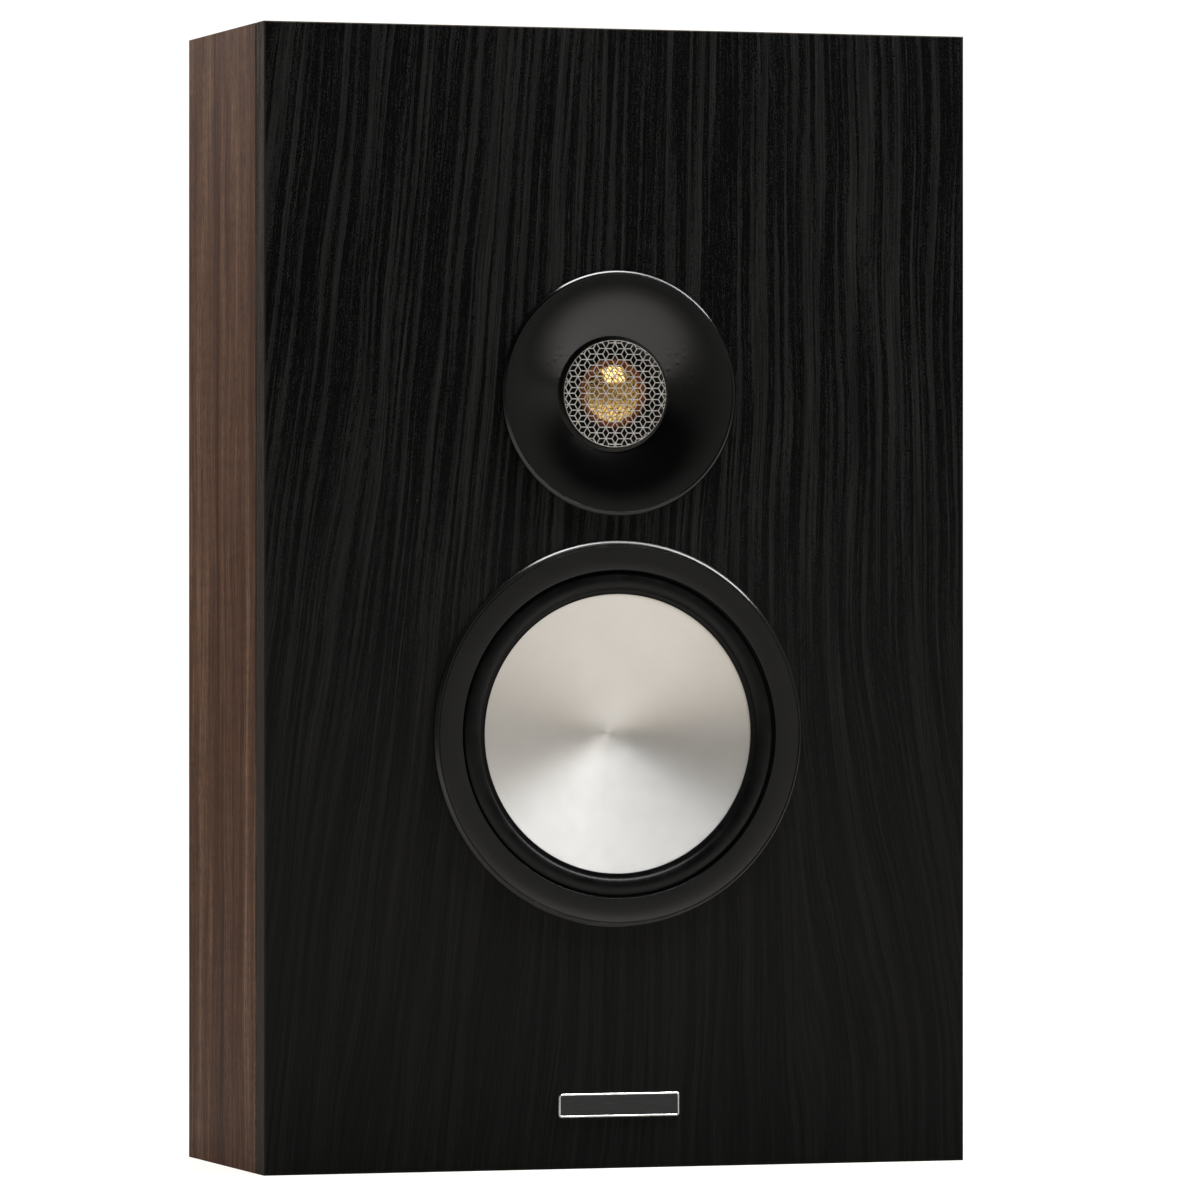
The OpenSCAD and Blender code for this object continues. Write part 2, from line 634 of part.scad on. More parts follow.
standoff_place = [board_size[0] / 2 - 5, board_size[1] / 2 - 5];
module standoff_places() for (x = [-1, 1], z = [-1, 1])
    at_depth(x * standoff_place[0], board_z + z * standoff_place[1]) children();

module crossover_board() color([0.10, 0.32, 0.16]) difference() {
    at_depth(0, board_z) translate([0, 0, board_d]) linear_extrude(pcb_t)
        round_rect(board_size, 2);
    standoff_places() cylinder(r = 1.9, h = rear_inner_d);
}

module crossover_standoffs() color([0.85, 0.85, 0.82]) standoff_places()
    ring(1.9, 3.6, board_d + pcb_t, rear_inner_d);

module crossover_screws() color([0.70, 0.70, 0.70]) standoff_places() turned([
    [0, board_d - 2.2], [2.2, board_d - 2.2], [3, board_d - 1.4], [3, board_d],
    [1.5, board_d], [1.5, rear_inner_d + 7], [0.4, rear_inner_d + 8.5], [0, rear_inner_d + 8.5]
]);

// A bobbin, drawn with its board side at depth board_d.
module bobbin(place, r, h, core_r) at_depth(place[0], place[1]) {
    ring(core_r, r + 1.5, board_d - 1.5, board_d);
    ring(core_r, core_r + 1.5, board_d - h + 1.5 - eps, board_d - 1.5 + eps);
    ring(core_r, r + 1.5, board_d - h, board_d - h + 1.5);
}
module inductor_bobbins() color([0.85, 0.82, 0.74]) {
    bobbin(woofer_inductor, 17, 26, 6);
    bobbin(tweeter_inductor, 12.5, 16, 5);
}

module inductor_windings() color([0.72, 0.38, 0.18]) {
    at_depth(woofer_inductor[0], woofer_inductor[1])
        ring(7.6, 16.5, board_d - 24.4, board_d - 1.6);
    at_depth(tweeter_inductor[0], tweeter_inductor[1])
        ring(6.6, 12, board_d - 14.4, board_d - 1.6);
}

module inductor_core() color([0.24, 0.24, 0.25])
    at_depth(woofer_inductor[0], woofer_inductor[1])
        translate([0, 0, board_d - 29]) cylinder(r = 5.95, h = 29);

// Capacitors lie on the board along X: [x, z, radius, length].
capacitors = [[32, 405, 9, 34], [34, 383, 8, 30], [30, 364, 7, 26]];
module film_capacitors() color([0.85, 0.72, 0.20]) for (c = capacitors)
    translate([c[0] - c[3] / 2, face_y + board_d - c[2] - 0.05, c[1]])
        rotate([0, 90, 0]) cylinder(r = c[2], h = c[3]);

module power_resistors() color([0.90, 0.89, 0.85]) for (z = [376, 396])
    translate([58, face_y + board_d - 10, z - 5]) cube([14, 10, 10]);

// Wire routes run from tag to board, as [x, depth, height] for one wire of each pair.
wire_r = 1.1;
input_route = [
    [9.5, 81.9, 70], [9.5, 81.9, 76], [16, 79, 90], [40, 78, 112], [68, 80, 150], [74, 80, 200],
    [74, 72, 251], [70, 72, 300], [62, 78, 336], [60, 86, 350], [60, 91.9, 352]
];
woofer_route = [
    [8, 54.5, 219.8], [8, 60, 219.8], [13, 66, 225], [22, 65, 238], [24, 62, 251],
    [18, 62, 275], [12, 68, 320], [10, 78, 344], [10, 86, 351], [10, 91.9, 352]
];
tweeter_route = [
    [9, 21.6, 274.6], [9, 27, 274.6], [14, 36, 270], [26, 50, 274], [36, 58, 300],
    [32, 66, 328], [22, 78, 345], [20, 86, 351], [20, 91.9, 352]
];
module wire_pair(route) for (x = [-1, 1])
    wire([for (p = route) [x * p[0], face_y + p[1], p[2]]], wire_r);
module input_wires() color([0.55, 0.08, 0.07]) wire_pair(input_route);
module woofer_wires() color([0.10, 0.10, 0.12]) wire_pair(woofer_route);
module tweeter_wires() color([0.80, 0.80, 0.78]) wire_pair(tweeter_route);

// ---------- terminal cup ----------

module cup_screw_corners() for (x = [-1, 1], z = [-1, 1])
    at_depth(x * (cup_flange[0] / 2 - 4.5), terminal_z + z * (cup_flange[1] / 2 - 4.5))
        translate([0, 0, rear_d]) children();

module keyhole_screw_ends() for (x = [-1, 1], z = [-1, 1])
    at_depth(x * keyhole_spacing / 2, keyhole_z + 6 + z * (keyhole_plate[1] / 2 - 5))
        translate([0, 0, rear_d]) children();

module rear_screw_places() {
    cup_screw_corners() children();
    keyhole_screw_ends() children();
}

module terminal_cup() color([0.09, 0.09, 0.09]) difference() {
    at_depth(0, terminal_z) {
        translate([0, 0, rear_d - cup_wall]) linear_extrude(cup_wall)
            round_rect(cup_flange, cup_corner_r);
        translate([0, 0, cup_floor_d - cup_wall]) linear_extrude(rear_d - cup_floor_d + cup_wall)
            round_rect([cup_inner[0] + 2 * cup_wall, cup_inner[1] + 2 * cup_wall],
                cup_corner_r + cup_wall);
    }
    at_depth(0, terminal_z) translate([0, 0, cup_floor_d]) linear_extrude(40)
        round_rect(cup_inner, cup_corner_r);
    for (x = [-1, 1]) at_depth(x * post_spacing / 2, terminal_z)
        translate([0, 0, 80]) cylinder(r = post_stud_r + 0.1, h = 20);
    cup_screw_corners() mirror([0, 0, 1])
        countersunk_hole(rear_screw_head_r, rear_screw_r + 0.1, 5);
}

module terminal_gasket() color([0.12, 0.12, 0.13]) difference() {
    at_depth(0, terminal_z) translate([0, 0, rear_d - cup_wall - terminal_gasket_t])
        linear_extrude(terminal_gasket_t) difference() {
            round_rect(cup_flange, cup_corner_r);
            round_rect([cup_inner[0] + 2 * cup_wall + 0.6, cup_inner[1] + 2 * cup_wall + 0.6],
                cup_corner_r + cup_wall);
        }
    cup_screw_corners() translate([0, 0, -10]) cylinder(r = 1.9, h = 12);
}

module at_posts() for (x = [-1, 1]) at_depth(x * post_spacing / 2, terminal_z) children();

// Turned posts: a stud through the cup, a collar, and a socket for a 4 mm plug.
module binding_posts() color([0.83, 0.66, 0.30]) at_posts() difference() {
    turned([
        [0, post_stud_end_d], [post_stud_r, post_stud_end_d],
        [post_stud_r, cup_floor_d + insulator_t], [6, cup_floor_d + insulator_t],
        [6, cup_floor_d + insulator_t + collar_t], [post_r, cup_floor_d + insulator_t + collar_t],
        [post_r, post_end_d - 0.5], [post_r - 0.5, post_end_d], [0, post_end_d]
    ]);
    translate([0, 0, post_end_d - socket_depth]) cylinder(r = socket_r, h = 20);
    translate([0, 0, cup_floor_d + insulator_t + collar_t + 1.7]) rotate([0, 90, 0])
        cylinder(r = 1.2, h = 20, center = true);
}

module post_insulators() color([0.10, 0.10, 0.10]) at_posts()
    ring(post_stud_r + 0.05, 9, cup_floor_d, cup_floor_d + insulator_t);

module post_nuts() color([0.80, 0.66, 0.32]) at_posts()
    translate([0, 0, cup_floor_d - cup_wall - 0.8 - 3.5]) difference() {
        cylinder(r = 4.6, h = 3.5, $fn = 6);
        translate([0, 0, -1]) cylinder(r = post_stud_r + 0.05, h = 6);
    }

module clamp_washer(side) at_depth(side * post_spacing / 2, terminal_z)
    ring(post_r + 0.08, 6.2, washer_d, washer_d + washer_t);
module red_clamp_washer() color([0.83, 0.66, 0.30]) clamp_washer(-1);
module black_clamp_washer() color([0.83, 0.66, 0.30]) clamp_washer(1);

// A fluted cap, open at its end so that a plug can enter the post.
module binding_cap(side) at_depth(side * post_spacing / 2, terminal_z) difference() {
    turned([
        [post_r + 0.06, cap_d], [cap_r - 0.4, cap_d], [cap_r, cap_d + 0.4],
        [cap_r, cap_end_d - 1], [cap_r - 1, cap_end_d], [post_r + 0.8, cap_end_d],
        [post_r + 0.06, cap_end_d - 0.7]
    ]);
    spread(14, cap_r + 0.45, 0) translate([0, 0, cap_d + 2]) cylinder(r = 0.9, h = 11);
}
module red_binding_cap() color([0.60, 0.05, 0.04]) binding_cap(-1);
module black_binding_cap() color([0.08, 0.08, 0.08]) binding_cap(1);

// ---------- wall fixing ----------

keyhole_plate = [24, 58];
keyhole_pocket = [14, 30];
keyhole_plate_t = 1.5;
module keyhole_plates() color([0.65, 0.65, 0.64]) difference() {
    for (x = [-1, 1]) at_depth(x * keyhole_spacing / 2, keyhole_z)
        translate([0, -6, rear_d - keyhole_plate_t]) difference() {
            linear_extrude(keyhole_plate_t) round_rect(keyhole_plate, 3);
            translate([0, 6, -1]) cylinder(r = 4.75, h = 5);
            translate([-2.3, -6, -1]) cube([4.6, 12, 5]);
            translate([0, -6, -1]) cylinder(r = 2.3, h = 5);
        }
    keyhole_screw_ends() mirror([0, 0, 1])
        countersunk_hole(rear_screw_head_r, rear_screw_r + 0.1, 5);
}

module rear_panel_screws() color([0.25, 0.25, 0.26]) rear_screw_places()
    mirror([0, 0, 1]) translate([0, 0, 0.05])
        countersunk_screw(rear_screw_head_r, rear_screw_r, rear_screw_len);

module wall_bumpers() color([0.07, 0.07, 0.07]) for (x = [-1, 1], z = [34, cabinet_h - 34])
    at_depth(x * (inner_w / 2 - 14), z) turned([
        [0, rear_d], [6.5, rear_d], [6.5, rear_d + bumper_h - 0.6],
        [5.9, rear_d + bumper_h], [0, rear_d + bumper_h]
    ]);

// ---------- nodes ----------

front_baffle();
side_panel_left();
side_panel_right();
top_panel();
bottom_panel();
rear_panel();
internal_brace();
acoustic_foam();
name_badge();
woofer_trim_ring();
woofer_surround();
woofer_cone();
woofer_coil_former();
woofer_voice_coil();
woofer_spider();
woofer_basket();
woofer_top_plate();
woofer_magnet();
woofer_yoke();
woofer_terminal_board();
woofer_lead_wires();
tweeter_waveguide();
tweeter_grille();
tweeter_dome();
tweeter_surround();
tweeter_coil_former();
tweeter_voice_coil();
tweeter_chassis();
tweeter_top_plate();
tweeter_magnet();
tweeter_yoke();
tweeter_rear_chamber();
woofer_gasket();
tweeter_gasket();
woofer_screws();
tweeter_screws();
terminal_tags();
crossover_board();
crossover_standoffs();
crossover_screws();
inductor_bobbins();
inductor_windings();
inductor_core();
film_capacitors();
power_resistors();
input_wires();
woofer_wires();
tweeter_wires();
terminal_cup();
terminal_gasket();
binding_posts();
post_insulators();
post_nuts();
red_clamp_washer();
black_clamp_washer();
red_binding_cap();
black_binding_cap();
keyhole_plates();
rear_panel_screws();
wall_bumpers();
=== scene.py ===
"""A shallow two-way bookshelf loudspeaker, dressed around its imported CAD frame.

Round pieces are turned outlines: a radius from the driver's axis and a depth behind the
baffle's face, both in millimetres. Everything else is in metres, in the frame of the CAD.
"""

import json
import math

import bmesh
import bpy
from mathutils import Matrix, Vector


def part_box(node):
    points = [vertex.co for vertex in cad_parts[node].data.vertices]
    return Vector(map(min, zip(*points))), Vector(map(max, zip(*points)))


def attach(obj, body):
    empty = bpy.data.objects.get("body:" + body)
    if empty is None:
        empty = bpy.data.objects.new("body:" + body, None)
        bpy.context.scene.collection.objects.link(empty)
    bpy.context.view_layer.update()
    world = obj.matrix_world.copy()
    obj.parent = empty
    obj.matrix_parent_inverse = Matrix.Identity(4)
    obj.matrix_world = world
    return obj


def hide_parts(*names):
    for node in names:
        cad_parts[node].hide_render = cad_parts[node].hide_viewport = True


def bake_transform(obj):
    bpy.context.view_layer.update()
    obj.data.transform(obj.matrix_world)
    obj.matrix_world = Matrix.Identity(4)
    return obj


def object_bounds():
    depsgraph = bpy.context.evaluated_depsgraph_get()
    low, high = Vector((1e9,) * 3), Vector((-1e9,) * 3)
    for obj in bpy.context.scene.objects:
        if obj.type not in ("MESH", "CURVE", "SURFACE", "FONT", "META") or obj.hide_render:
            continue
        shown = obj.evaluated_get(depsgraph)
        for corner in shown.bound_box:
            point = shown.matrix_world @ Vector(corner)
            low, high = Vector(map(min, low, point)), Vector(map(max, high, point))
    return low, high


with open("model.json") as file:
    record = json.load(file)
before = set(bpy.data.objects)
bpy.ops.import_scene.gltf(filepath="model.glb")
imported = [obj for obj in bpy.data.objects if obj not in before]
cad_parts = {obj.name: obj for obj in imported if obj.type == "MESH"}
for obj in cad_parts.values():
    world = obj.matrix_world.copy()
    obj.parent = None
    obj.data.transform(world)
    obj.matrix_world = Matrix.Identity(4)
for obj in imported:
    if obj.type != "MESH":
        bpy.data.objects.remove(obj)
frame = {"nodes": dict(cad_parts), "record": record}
cad_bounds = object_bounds()

# ---------- places, from the frame ----------

MM = 0.001
FACE_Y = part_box("front_baffle")[0].y
HALF_WIDTH = cad_bounds[1].x / MM
HALF_HEIGHT = cad_bounds[1].z / MM / 2


def middle(node):
    """The x and z of the middle of a node's box."""
    low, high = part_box(node)
    return (low.x + high.x) / 2, (low.z + high.z) / 2


def depth(y):
    """A depth in mm behind the baffle's face."""
    return (y - FACE_Y) / MM


WOOFER = middle("woofer_trim_ring")
TWEETER = middle("tweeter_waveguide")
BADGE = middle("name_badge")


# ---------- mesh helpers ----------

def polar(centre, radius, angle, d):
    """A point round an axis along Y: radius and depth d are in mm, and angle 0 is towards +X."""
    return (
        centre[0] + radius * MM * math.cos(angle),
        FACE_Y + d * MM,
        centre[1] + radius * MM * math.sin(angle),
    )


def made(name, points, faces, sharp=32):
    """A mesh without double points, whose faces look outwards and whose edges are smooth below an angle."""
    mesh = bpy.data.meshes.new(name)
    mesh.from_pydata(points, [], faces)
    work = bmesh.new()
    work.from_mesh(mesh)
    bmesh.ops.remove_doubles(work, verts=work.verts, dist=1e-7)
    bmesh.ops.recalc_face_normals(work, faces=work.faces)
    work.to_mesh(mesh)
    work.free()
    mesh.shade_smooth()
    mesh.set_sharp_from_angle(angle=math.radians(sharp))
    return mesh


def turned(name, outline, centre, turns=192, reshape=None, sharp=32):
    """A ring or disc from a closed outline of radius and depth. reshape(r, d, angle) may move each point."""
    points, faces = [], []
    count = len(outline)
    for turn in range(turns):
        angle = 2 * math.pi * turn / turns
        after = (turn + 1) % turns
        for k, (r, d) in enumerate(outline):
            if reshape:
                r, d = reshape(r, d, angle)
            points.append(polar(centre, r, angle, d))
            m = (k + 1) % count
            faces.append((turn * count + k, turn * count + m, after * count + m, after * count + k))
    return made(name, points, faces, sharp)


def rounded(corners, steps=4):
    """A closed outline through (x, y, fillet radius) corners."""
    outline = []
    for k, (x, y, radius) in enumerate(corners):
        here = Vector((x, y))
        back = Vector(corners[k - 1][:2]) - here
        ahead = Vector(corners[(k + 1) % len(corners)][:2]) - here
        if radius == 0:
            outline.append((x, y))
            continue
        half = back.angle(ahead) / 2
        reach = min(radius / math.tan(half), 0.48 * back.length, 0.48 * ahead.length)
        radius = reach * math.tan(half)
        hub = here + (back.normalized() + ahead.normalized()).normalized() * radius / math.sin(half)
        start = here + back.normalized() * reach - hub
        end = here + ahead.normalized() * reach - hub
        first = math.atan2(start.y, start.x)
        sweep = (math.atan2(end.y, end.x) - first + math.pi) % (2 * math.pi) - math.pi
        for s in range(steps + 1):
            a = first + sweep * s / steps
            outline.append((hub.x + radius * math.cos(a), hub.y + radius * math.sin(a)))
    return outline


def arc(centre, radii, start, end, steps):
    """Points on an ellipse's arc, with its angles in degrees."""
    angles = [math.radians(start + (end - start) * k / steps) for k in range(steps + 1)]
    return [(centre[0] + radii[0] * math.cos(a), centre[1] + radii[1] * math.sin(a)) for a in angles]


def smooth_route(points, steps):
    """Points on a smooth curve through a route."""
    points = [Vector(p) for p in points]
    line = []
    for k in range(len(points) - 1):
        a, b, c = points[max(k - 1, 0)], points[k], points[k + 1]
        d = points[min(k + 2, len(points) - 1)]
        for s in range(steps):
            t = s / steps
            line.append(0.5 * (2 * b + (c - a) * t + (2 * a - 5 * b + 4 * c - d) * t * t
                               + (3 * b - a - 3 * c + d) * t ** 3))
    return line + [points[-1]]


def tube(line, radius, sides=16, bumps=0, pitch=4):
    """The points and faces of a round tube along a line. bumps is a woven relief's share of the radius."""
    points, faces = [], []
    across = Vector((1, 0, 0))
    for k, at in enumerate(line):
        along = (line[min(k + 1, len(line) - 1)] - line[max(k - 1, 0)]).normalized()
        across = (across - along * across.dot(along)).normalized()
        third = along.cross(across)
        for s in range(sides):
            a = 2 * math.pi * s / sides
            r = radius * (1 + bumps * math.sin(pitch * a + k) * math.sin(pitch * a - k))
            points.append(at + (across * math.cos(a) + third * math.sin(a)) * r)
            if k + 1 < len(line):
                n = (s + 1) % sides
                faces.append((k * sides + s, k * sides + n, (k + 1) * sides + n, (k + 1) * sides + s))
    faces.append(tuple(range(sides)))
    faces.append(tuple(range((len(line) - 1) * sides, len(line) * sides)))
    return points, faces


def taken(mesh):
    """The points and faces of a mesh that isn't needed any more."""
    points = [tuple(v.co) for v in mesh.vertices]
    faces = [tuple(p.vertices) for p in mesh.polygons]
    bpy.data.meshes.remove(mesh)
    return points, faces


def joined(parts):
    """One list of points and one of faces, from several."""
    points, faces = [], []
    for more_points, more_faces in parts:
        base = len(points)
        points += more_points
        faces += [tuple(base + k for k in face) for face in more_faces]
    return points, faces


# ---------- material helpers ----------

class Nodes:
    """A node tree. Each method but feed adds a node and returns its output."""

    def __init__(self, tree):
        self.tree = tree

    def feed(self, socket, value):
        """Links a socket to a node's output, or sets its value."""
        if isinstance(value, bpy.types.NodeSocket):
            self.tree.links.new(value, socket)
        else:
            socket.default_value = value

    def add(self, kind, output, inputs, **settings):
        node = self.tree.nodes.new("ShaderNode" + kind)
        for name, value in settings.items():
            setattr(node, name, value)
        for name, value in inputs.items():
            self.feed(node.inputs[name], value)
        return node.outputs[output]

    def blend(self, share, a, b):
        """A number between a and b."""
        return self.add("Mix", 0, {0: share, 2: a, 3: b})

    def fit(self, value, low, high, to_low=0.0, to_high=1.0):
        """The value, with low to high brought to to_low to to_high and held there."""
        inputs = {"Value": value, "From Min": low, "From Max": high, "To Min": to_low, "To Max": to_high}
        return self.add("MapRange", "Result", inputs, interpolation_type="SMOOTHSTEP")

    def parts(self, vector):
        """A vector's x, y and z."""
        node = self.tree.nodes.new("ShaderNodeSeparateXYZ")
        self.feed(node.inputs[0], vector)
        return tuple(node.outputs)


class Look(Nodes):
    """A material for one slot. set, tint, gloss, soften and relief change its shader."""

    def __init__(self, name, colour, roughness, metallic=0.0, specular=0.5, **others):
        self.material = bpy.data.materials.new(name)
        self.material.use_nodes = True
        super().__init__(self.material.node_tree)
        self.shader = self.tree.nodes["Principled BSDF"]
        self.height = None
        self.set("Base Color", (*colour, 1))
        self.set("Roughness", roughness)
        self.set("Metallic", metallic)
        self.set("Specular IOR Level", specular)
        for socket, value in others.items():
            self.set(socket.replace("_", " "), value)

    def set(self, socket, value):
        self.feed(self.shader.inputs[socket], value)

    def place(self, stretch=(1, 1, 1)):
        """Object coordinates in millimetres, divided by stretch along each axis."""
        here = self.add("TexCoord", "Object", {})
        scale = [1 / MM / s for s in stretch]
        return self.add("Mapping", "Vector", {"Vector": here, "Scale": scale})

    def noise(self, at, size, detail=3.0, rough=0.5, warp=0.0):
        """Noise from 0 to 1, whose features are about size mm across."""
        inputs = {"Vector": at, "Scale": 1 / size, "Detail": detail, "Roughness": rough}
        return self.add("TexNoise", "Fac", inputs | {"Distortion": warp})

    def cells(self, at, size, feature="F1", output="Distance", spread=1.0):
        inputs = {"Vector": at, "Scale": 1 / size, "Randomness": spread}
        return self.add("TexVoronoi", output, inputs, feature=feature)

    def maths(self, operation, a, b=0.0):
        return self.add("Math", 0, {0: a, 1: b}, operation=operation)

    def times(self, a, b):
        return self.maths("MULTIPLY", a, b)

    def ramp(self, value, *stops):
        """A colour from (position, colour) stops."""
        node = self.tree.nodes.new("ShaderNodeValToRGB")
        elements = node.color_ramp.elements
        while len(elements) < len(stops):
            elements.new(0.5)
        for element, (position, colour) in zip(elements, stops):
            element.position = position
            element.color = (*colour, 1)
        self.feed(node.inputs["Fac"], value)
        return node.outputs["Color"]

    def tint(self, value, low, high, start=0.3, end=0.7):
        """Colours the surface from low to high, as the value goes from start to end."""
        self.set("Base Color", self.ramp(value, (start, low), (end, high)))

    def gloss(self, value, low, high):
        """Sets the roughness from low to high, as the value goes from 0.3 to 0.7."""
        self.set("Roughness", self.fit(value, 0.3, 0.7, low, high))

    def mix(self, share, a, b):
        """Colours a and b mixed. The Mix node's colour sockets are its seventh and eighth."""
        node = self.tree.nodes.new("ShaderNodeMix")
        node.data_type = "RGBA"
        self.feed(node.inputs[0], share)
        for socket, colour in ((6, a), (7, b)):
            linked = isinstance(colour, bpy.types.NodeSocket)
            self.feed(node.inputs[socket], colour if linked else (*colour, 1))
        return node.outputs[2]

    def vector(self, x, y, z):
        return self.add("CombineXYZ", "Vector", {"X": x, "Y": y, "Z": z})

    def soften(self, radius_mm):
        """Edges that look rounded over a radius."""
        self.height = self.add("Bevel", "Normal", {"Radius": radius_mm * MM}, samples=4)
        self.set("Normal", self.height)

    def relief(self, value, height_mm, strength=1.0):
        """Raises the surface by up to a height where the value is 1. Calls add up."""
        inputs = {"Height": value, "Distance": height_mm * MM, "Strength": strength}
        if self.height:
            inputs["Normal"] = self.height
        self.height = self.add("Bump", "Normal", inputs)
        self.set("Normal", self.height)

    def offsets_from(self, centre):
        """The distances in mm from an axis along Y, along X and along Z."""
        x, _, z = self.parts(self.place())
        return self.maths("SUBTRACT", x, centre[0] / MM), self.maths("SUBTRACT", z, centre[1] / MM)

    def length(self, x, y):
        """The length of a flat vector."""
        return self.maths("SQRT", self.maths("ADD", self.times(x, x), self.times(y, y)))

    def radius_from(self, centre):
        """The distance in mm from an axis along Y."""
        return self.length(*self.offsets_from(centre))


def grey(value, warmth=0.0):
    return (value * (1 + warmth), value, value * (1 - warmth))


def veneer(look, across, along, bend, shift=0.0):
    """Coordinates that follow a board's grain: across it, out of it and 30 times slower along it.

    The grain wanders by a share of bend and is moved across by shift, both in mm.
    """
    axes = dict(zip("XYZ", look.parts(look.place())))
    side, run = axes.pop(across), axes.pop(along)
    (out,) = axes.values()
    slow = look.vector(look.times(side, 1 / 46), 0.0, look.times(run, 1 / 190))
    sway = look.times(look.maths("SUBTRACT", look.noise(slow, 1, 2.0, 0.5), 0.5), bend)
    side = look.maths("SUBTRACT", look.maths("ADD", side, sway), shift)
    return look.vector(side, out, look.times(run, 1 / 30))


def drawn_out(look, grain, share):
    """A veneer's coordinates that change faster along the grain by a share."""
    side, out, run = look.parts(grain)
    return look.vector(side, out, look.times(run, share))


# ---------- materials, one function for each slot or family of slots ----------

def black_oak(slot):
    """Black-stained oak: bands of open pores between smooth streaks, with an edge band. Its streaks and
    pores are painted bolder towards the top, as painted highlights and shade of raking light from above.
    """
    look = Look(slot, grey(0.008), 0.5, specular=0.08)
    x, _, z = look.parts(look.place())
    height = look.maths("SUBTRACT", z, HALF_HEIGHT)
    lean = look.times(height, look.fit(x, -HALF_WIDTH, 120, 0.13, 0.0))
    arch = look.times(look.fit(z, 30, 230, 30, 0), look.fit(x, 10, 130))
    grain = veneer(look, "X", "Z", 14, look.maths("ADD", lean, arch))
    # Painted light: a mask that grows towards the top, so that bright streaks and dark pores stand in for
    # raking light from overhead.
    painted_raking_light = look.fit(z, 90, 330, 0.3, 1.0)
    long_grain = drawn_out(look, grain, 0.35)
    short_grain = drawn_out(look, grain, 4.0)
    smooth_streak = look.fit(look.noise(long_grain, 2.9, 1.0, 0.5, 0.1), 0.44, 0.60)
    grit = look.noise(look.place((1, 1, 2)), 0.45, 2.0, 0.6)
    fibre = look.blend(0.35, look.noise(long_grain, 0.8, 4.0, 0.7, 0.1), grit)
    short_speck = look.noise(short_grain, 0.55, 3.0, 0.65, 0.4)
    speck = look.blend(0.5, short_speck, look.noise(long_grain, 0.9, 3.0, 0.65))
    speck = look.maths("SUBTRACT", look.blend(0.45, speck, grit), look.times(smooth_streak, 0.11))
    # Painted highlight and shade: the pores darken and the flat stain turns into bright streaks towards the
    # top.
    pores = look.times(look.fit(speck, 0.405, 0.50), painted_raking_light)
    streaky = look.ramp(fibre, (0.37, grey(0.003, 0.02)), (0.63, grey(0.038, 0.02)))
    stain = look.mix(painted_raking_light, grey(0.014, 0.02), streaky)
    stain = look.mix(pores, stain, grey(0.0008))
    side_edge = look.fit(look.maths("ABSOLUTE", x), HALF_WIDTH - 0.7, HALF_WIDTH - 0.3)
    end_edge = look.fit(look.maths("ABSOLUTE", height), HALF_HEIGHT - 0.7, HALF_HEIGHT - 0.3)
    edge = look.maths("MAXIMUM", side_edge, end_edge)
    upright = look.noise(look.place((1, 1, 30)), 3, 3.0)
    level = look.noise(look.place((30, 1, 1)), 3, 3.0)
    along_edge = look.blend(end_edge, upright, level)
    band = look.mix(along_edge, (0.034, 0.028, 0.023), (0.044, 0.036, 0.029))
    look.set("Base Color", look.mix(edge, stain, band))
    look.set("Roughness", look.fit(pores, 0.0, 1.0, 0.46, 0.8))
    look.relief(look.times(pores, look.maths("SUBTRACT", edge, 1.0)), 0.15)
    return look.material


def walnut(slot, across="Y", along="Z"):
    """Satin walnut veneer whose grain runs along one axis."""
    look = Look(slot, (0.1, 0.06, 0.04), 0.48, specular=0.06)
    grain = veneer(look, across, along, 16)
    streak = look.noise(grain, 9, 4.0, 0.65, 0.4)
    broad = look.noise(grain, 30, 2.0, 0.5)
    flecks = look.noise(drawn_out(look, grain, 8.0), 0.8, 3.0, 0.75)
    fibre = look.blend(0.45, look.noise(grain, 1.2, 4.0, 0.7), flecks)
    pores = look.fit(look.noise(grain, 0.9, 1.0, 0.5), 0.60, 0.70)
    tone = look.blend(0.35, streak, broad)
    wood = look.ramp(tone, (0.38, (0.070, 0.031, 0.019)), (0.46, (0.134, 0.063, 0.037)),
                     (0.54, (0.200, 0.104, 0.064)), (0.62, (0.35, 0.205, 0.135)))
    wood = look.mix(look.fit(fibre, 0.43, 0.59, 0.0, 0.62), wood, (0.062, 0.030, 0.019))
    ripple = look.fit(look.noise(look.place((6, 6, 1)), 5, 2.0, 0.5), 0.3, 0.7, 0.0, 0.2)
    wood = look.mix(ripple, wood, (0.05, 0.026, 0.017))
    look.set("Base Color", look.mix(look.times(pores, 0.5), wood, (0.028, 0.016, 0.011)))
    look.gloss(fibre, 0.38, 0.52)
    look.relief(look.maths("SUBTRACT", fibre, pores), 0.05, 0.6)
    return look.material


def raw_board(slot):
    """Fibreboard: short fibres pressed flat."""
    look = Look(slot, (0.45, 0.32, 0.2), 0.85, specular=0.2)
    chips = look.noise(look.place((1, 1, 3)), 1.4, 5.0, 0.7)
    look.tint(chips, (0.27, 0.175, 0.10), (0.50, 0.36, 0.23))
    look.relief(chips, 0.15)
    return look.material


def lacquered_board(slot):
    """Matt black lacquer that follows the board's fibres a little."""
    look = Look(slot, grey(0.016), 0.55, specular=0.35)
    orange_peel = look.noise(look.place(), 0.9, 3.0, 0.6)
    look.tint(look.noise(look.place(), 40, 3.0), grey(0.013), grey(0.019))
    look.gloss(orange_peel, 0.48, 0.62)
    look.soften(0.4)
    look.relief(orange_peel, 0.06, 0.7)
    return look.material


def coated(slot, colour, rough=0.36, grain=0.35, height=0.012, edge=0.0, specular=0.5):
    """Paint, powder coat or moulded plastic with a fine skin."""
    look = Look(slot, colour, rough, specular=specular)
    skin = look.noise(look.place(), grain, 4.0, 0.6)
    cloud = look.noise(look.place(), 9, 3.0, 0.5)
    low, high = [tuple(c * share for c in colour) for share in (0.88, 1.12)]
    look.tint(cloud, low, high)
    look.gloss(skin, rough - 0.04, rough + 0.06)
    if edge:
        look.soften(edge)
    look.relief(skin, height)
    return look.material


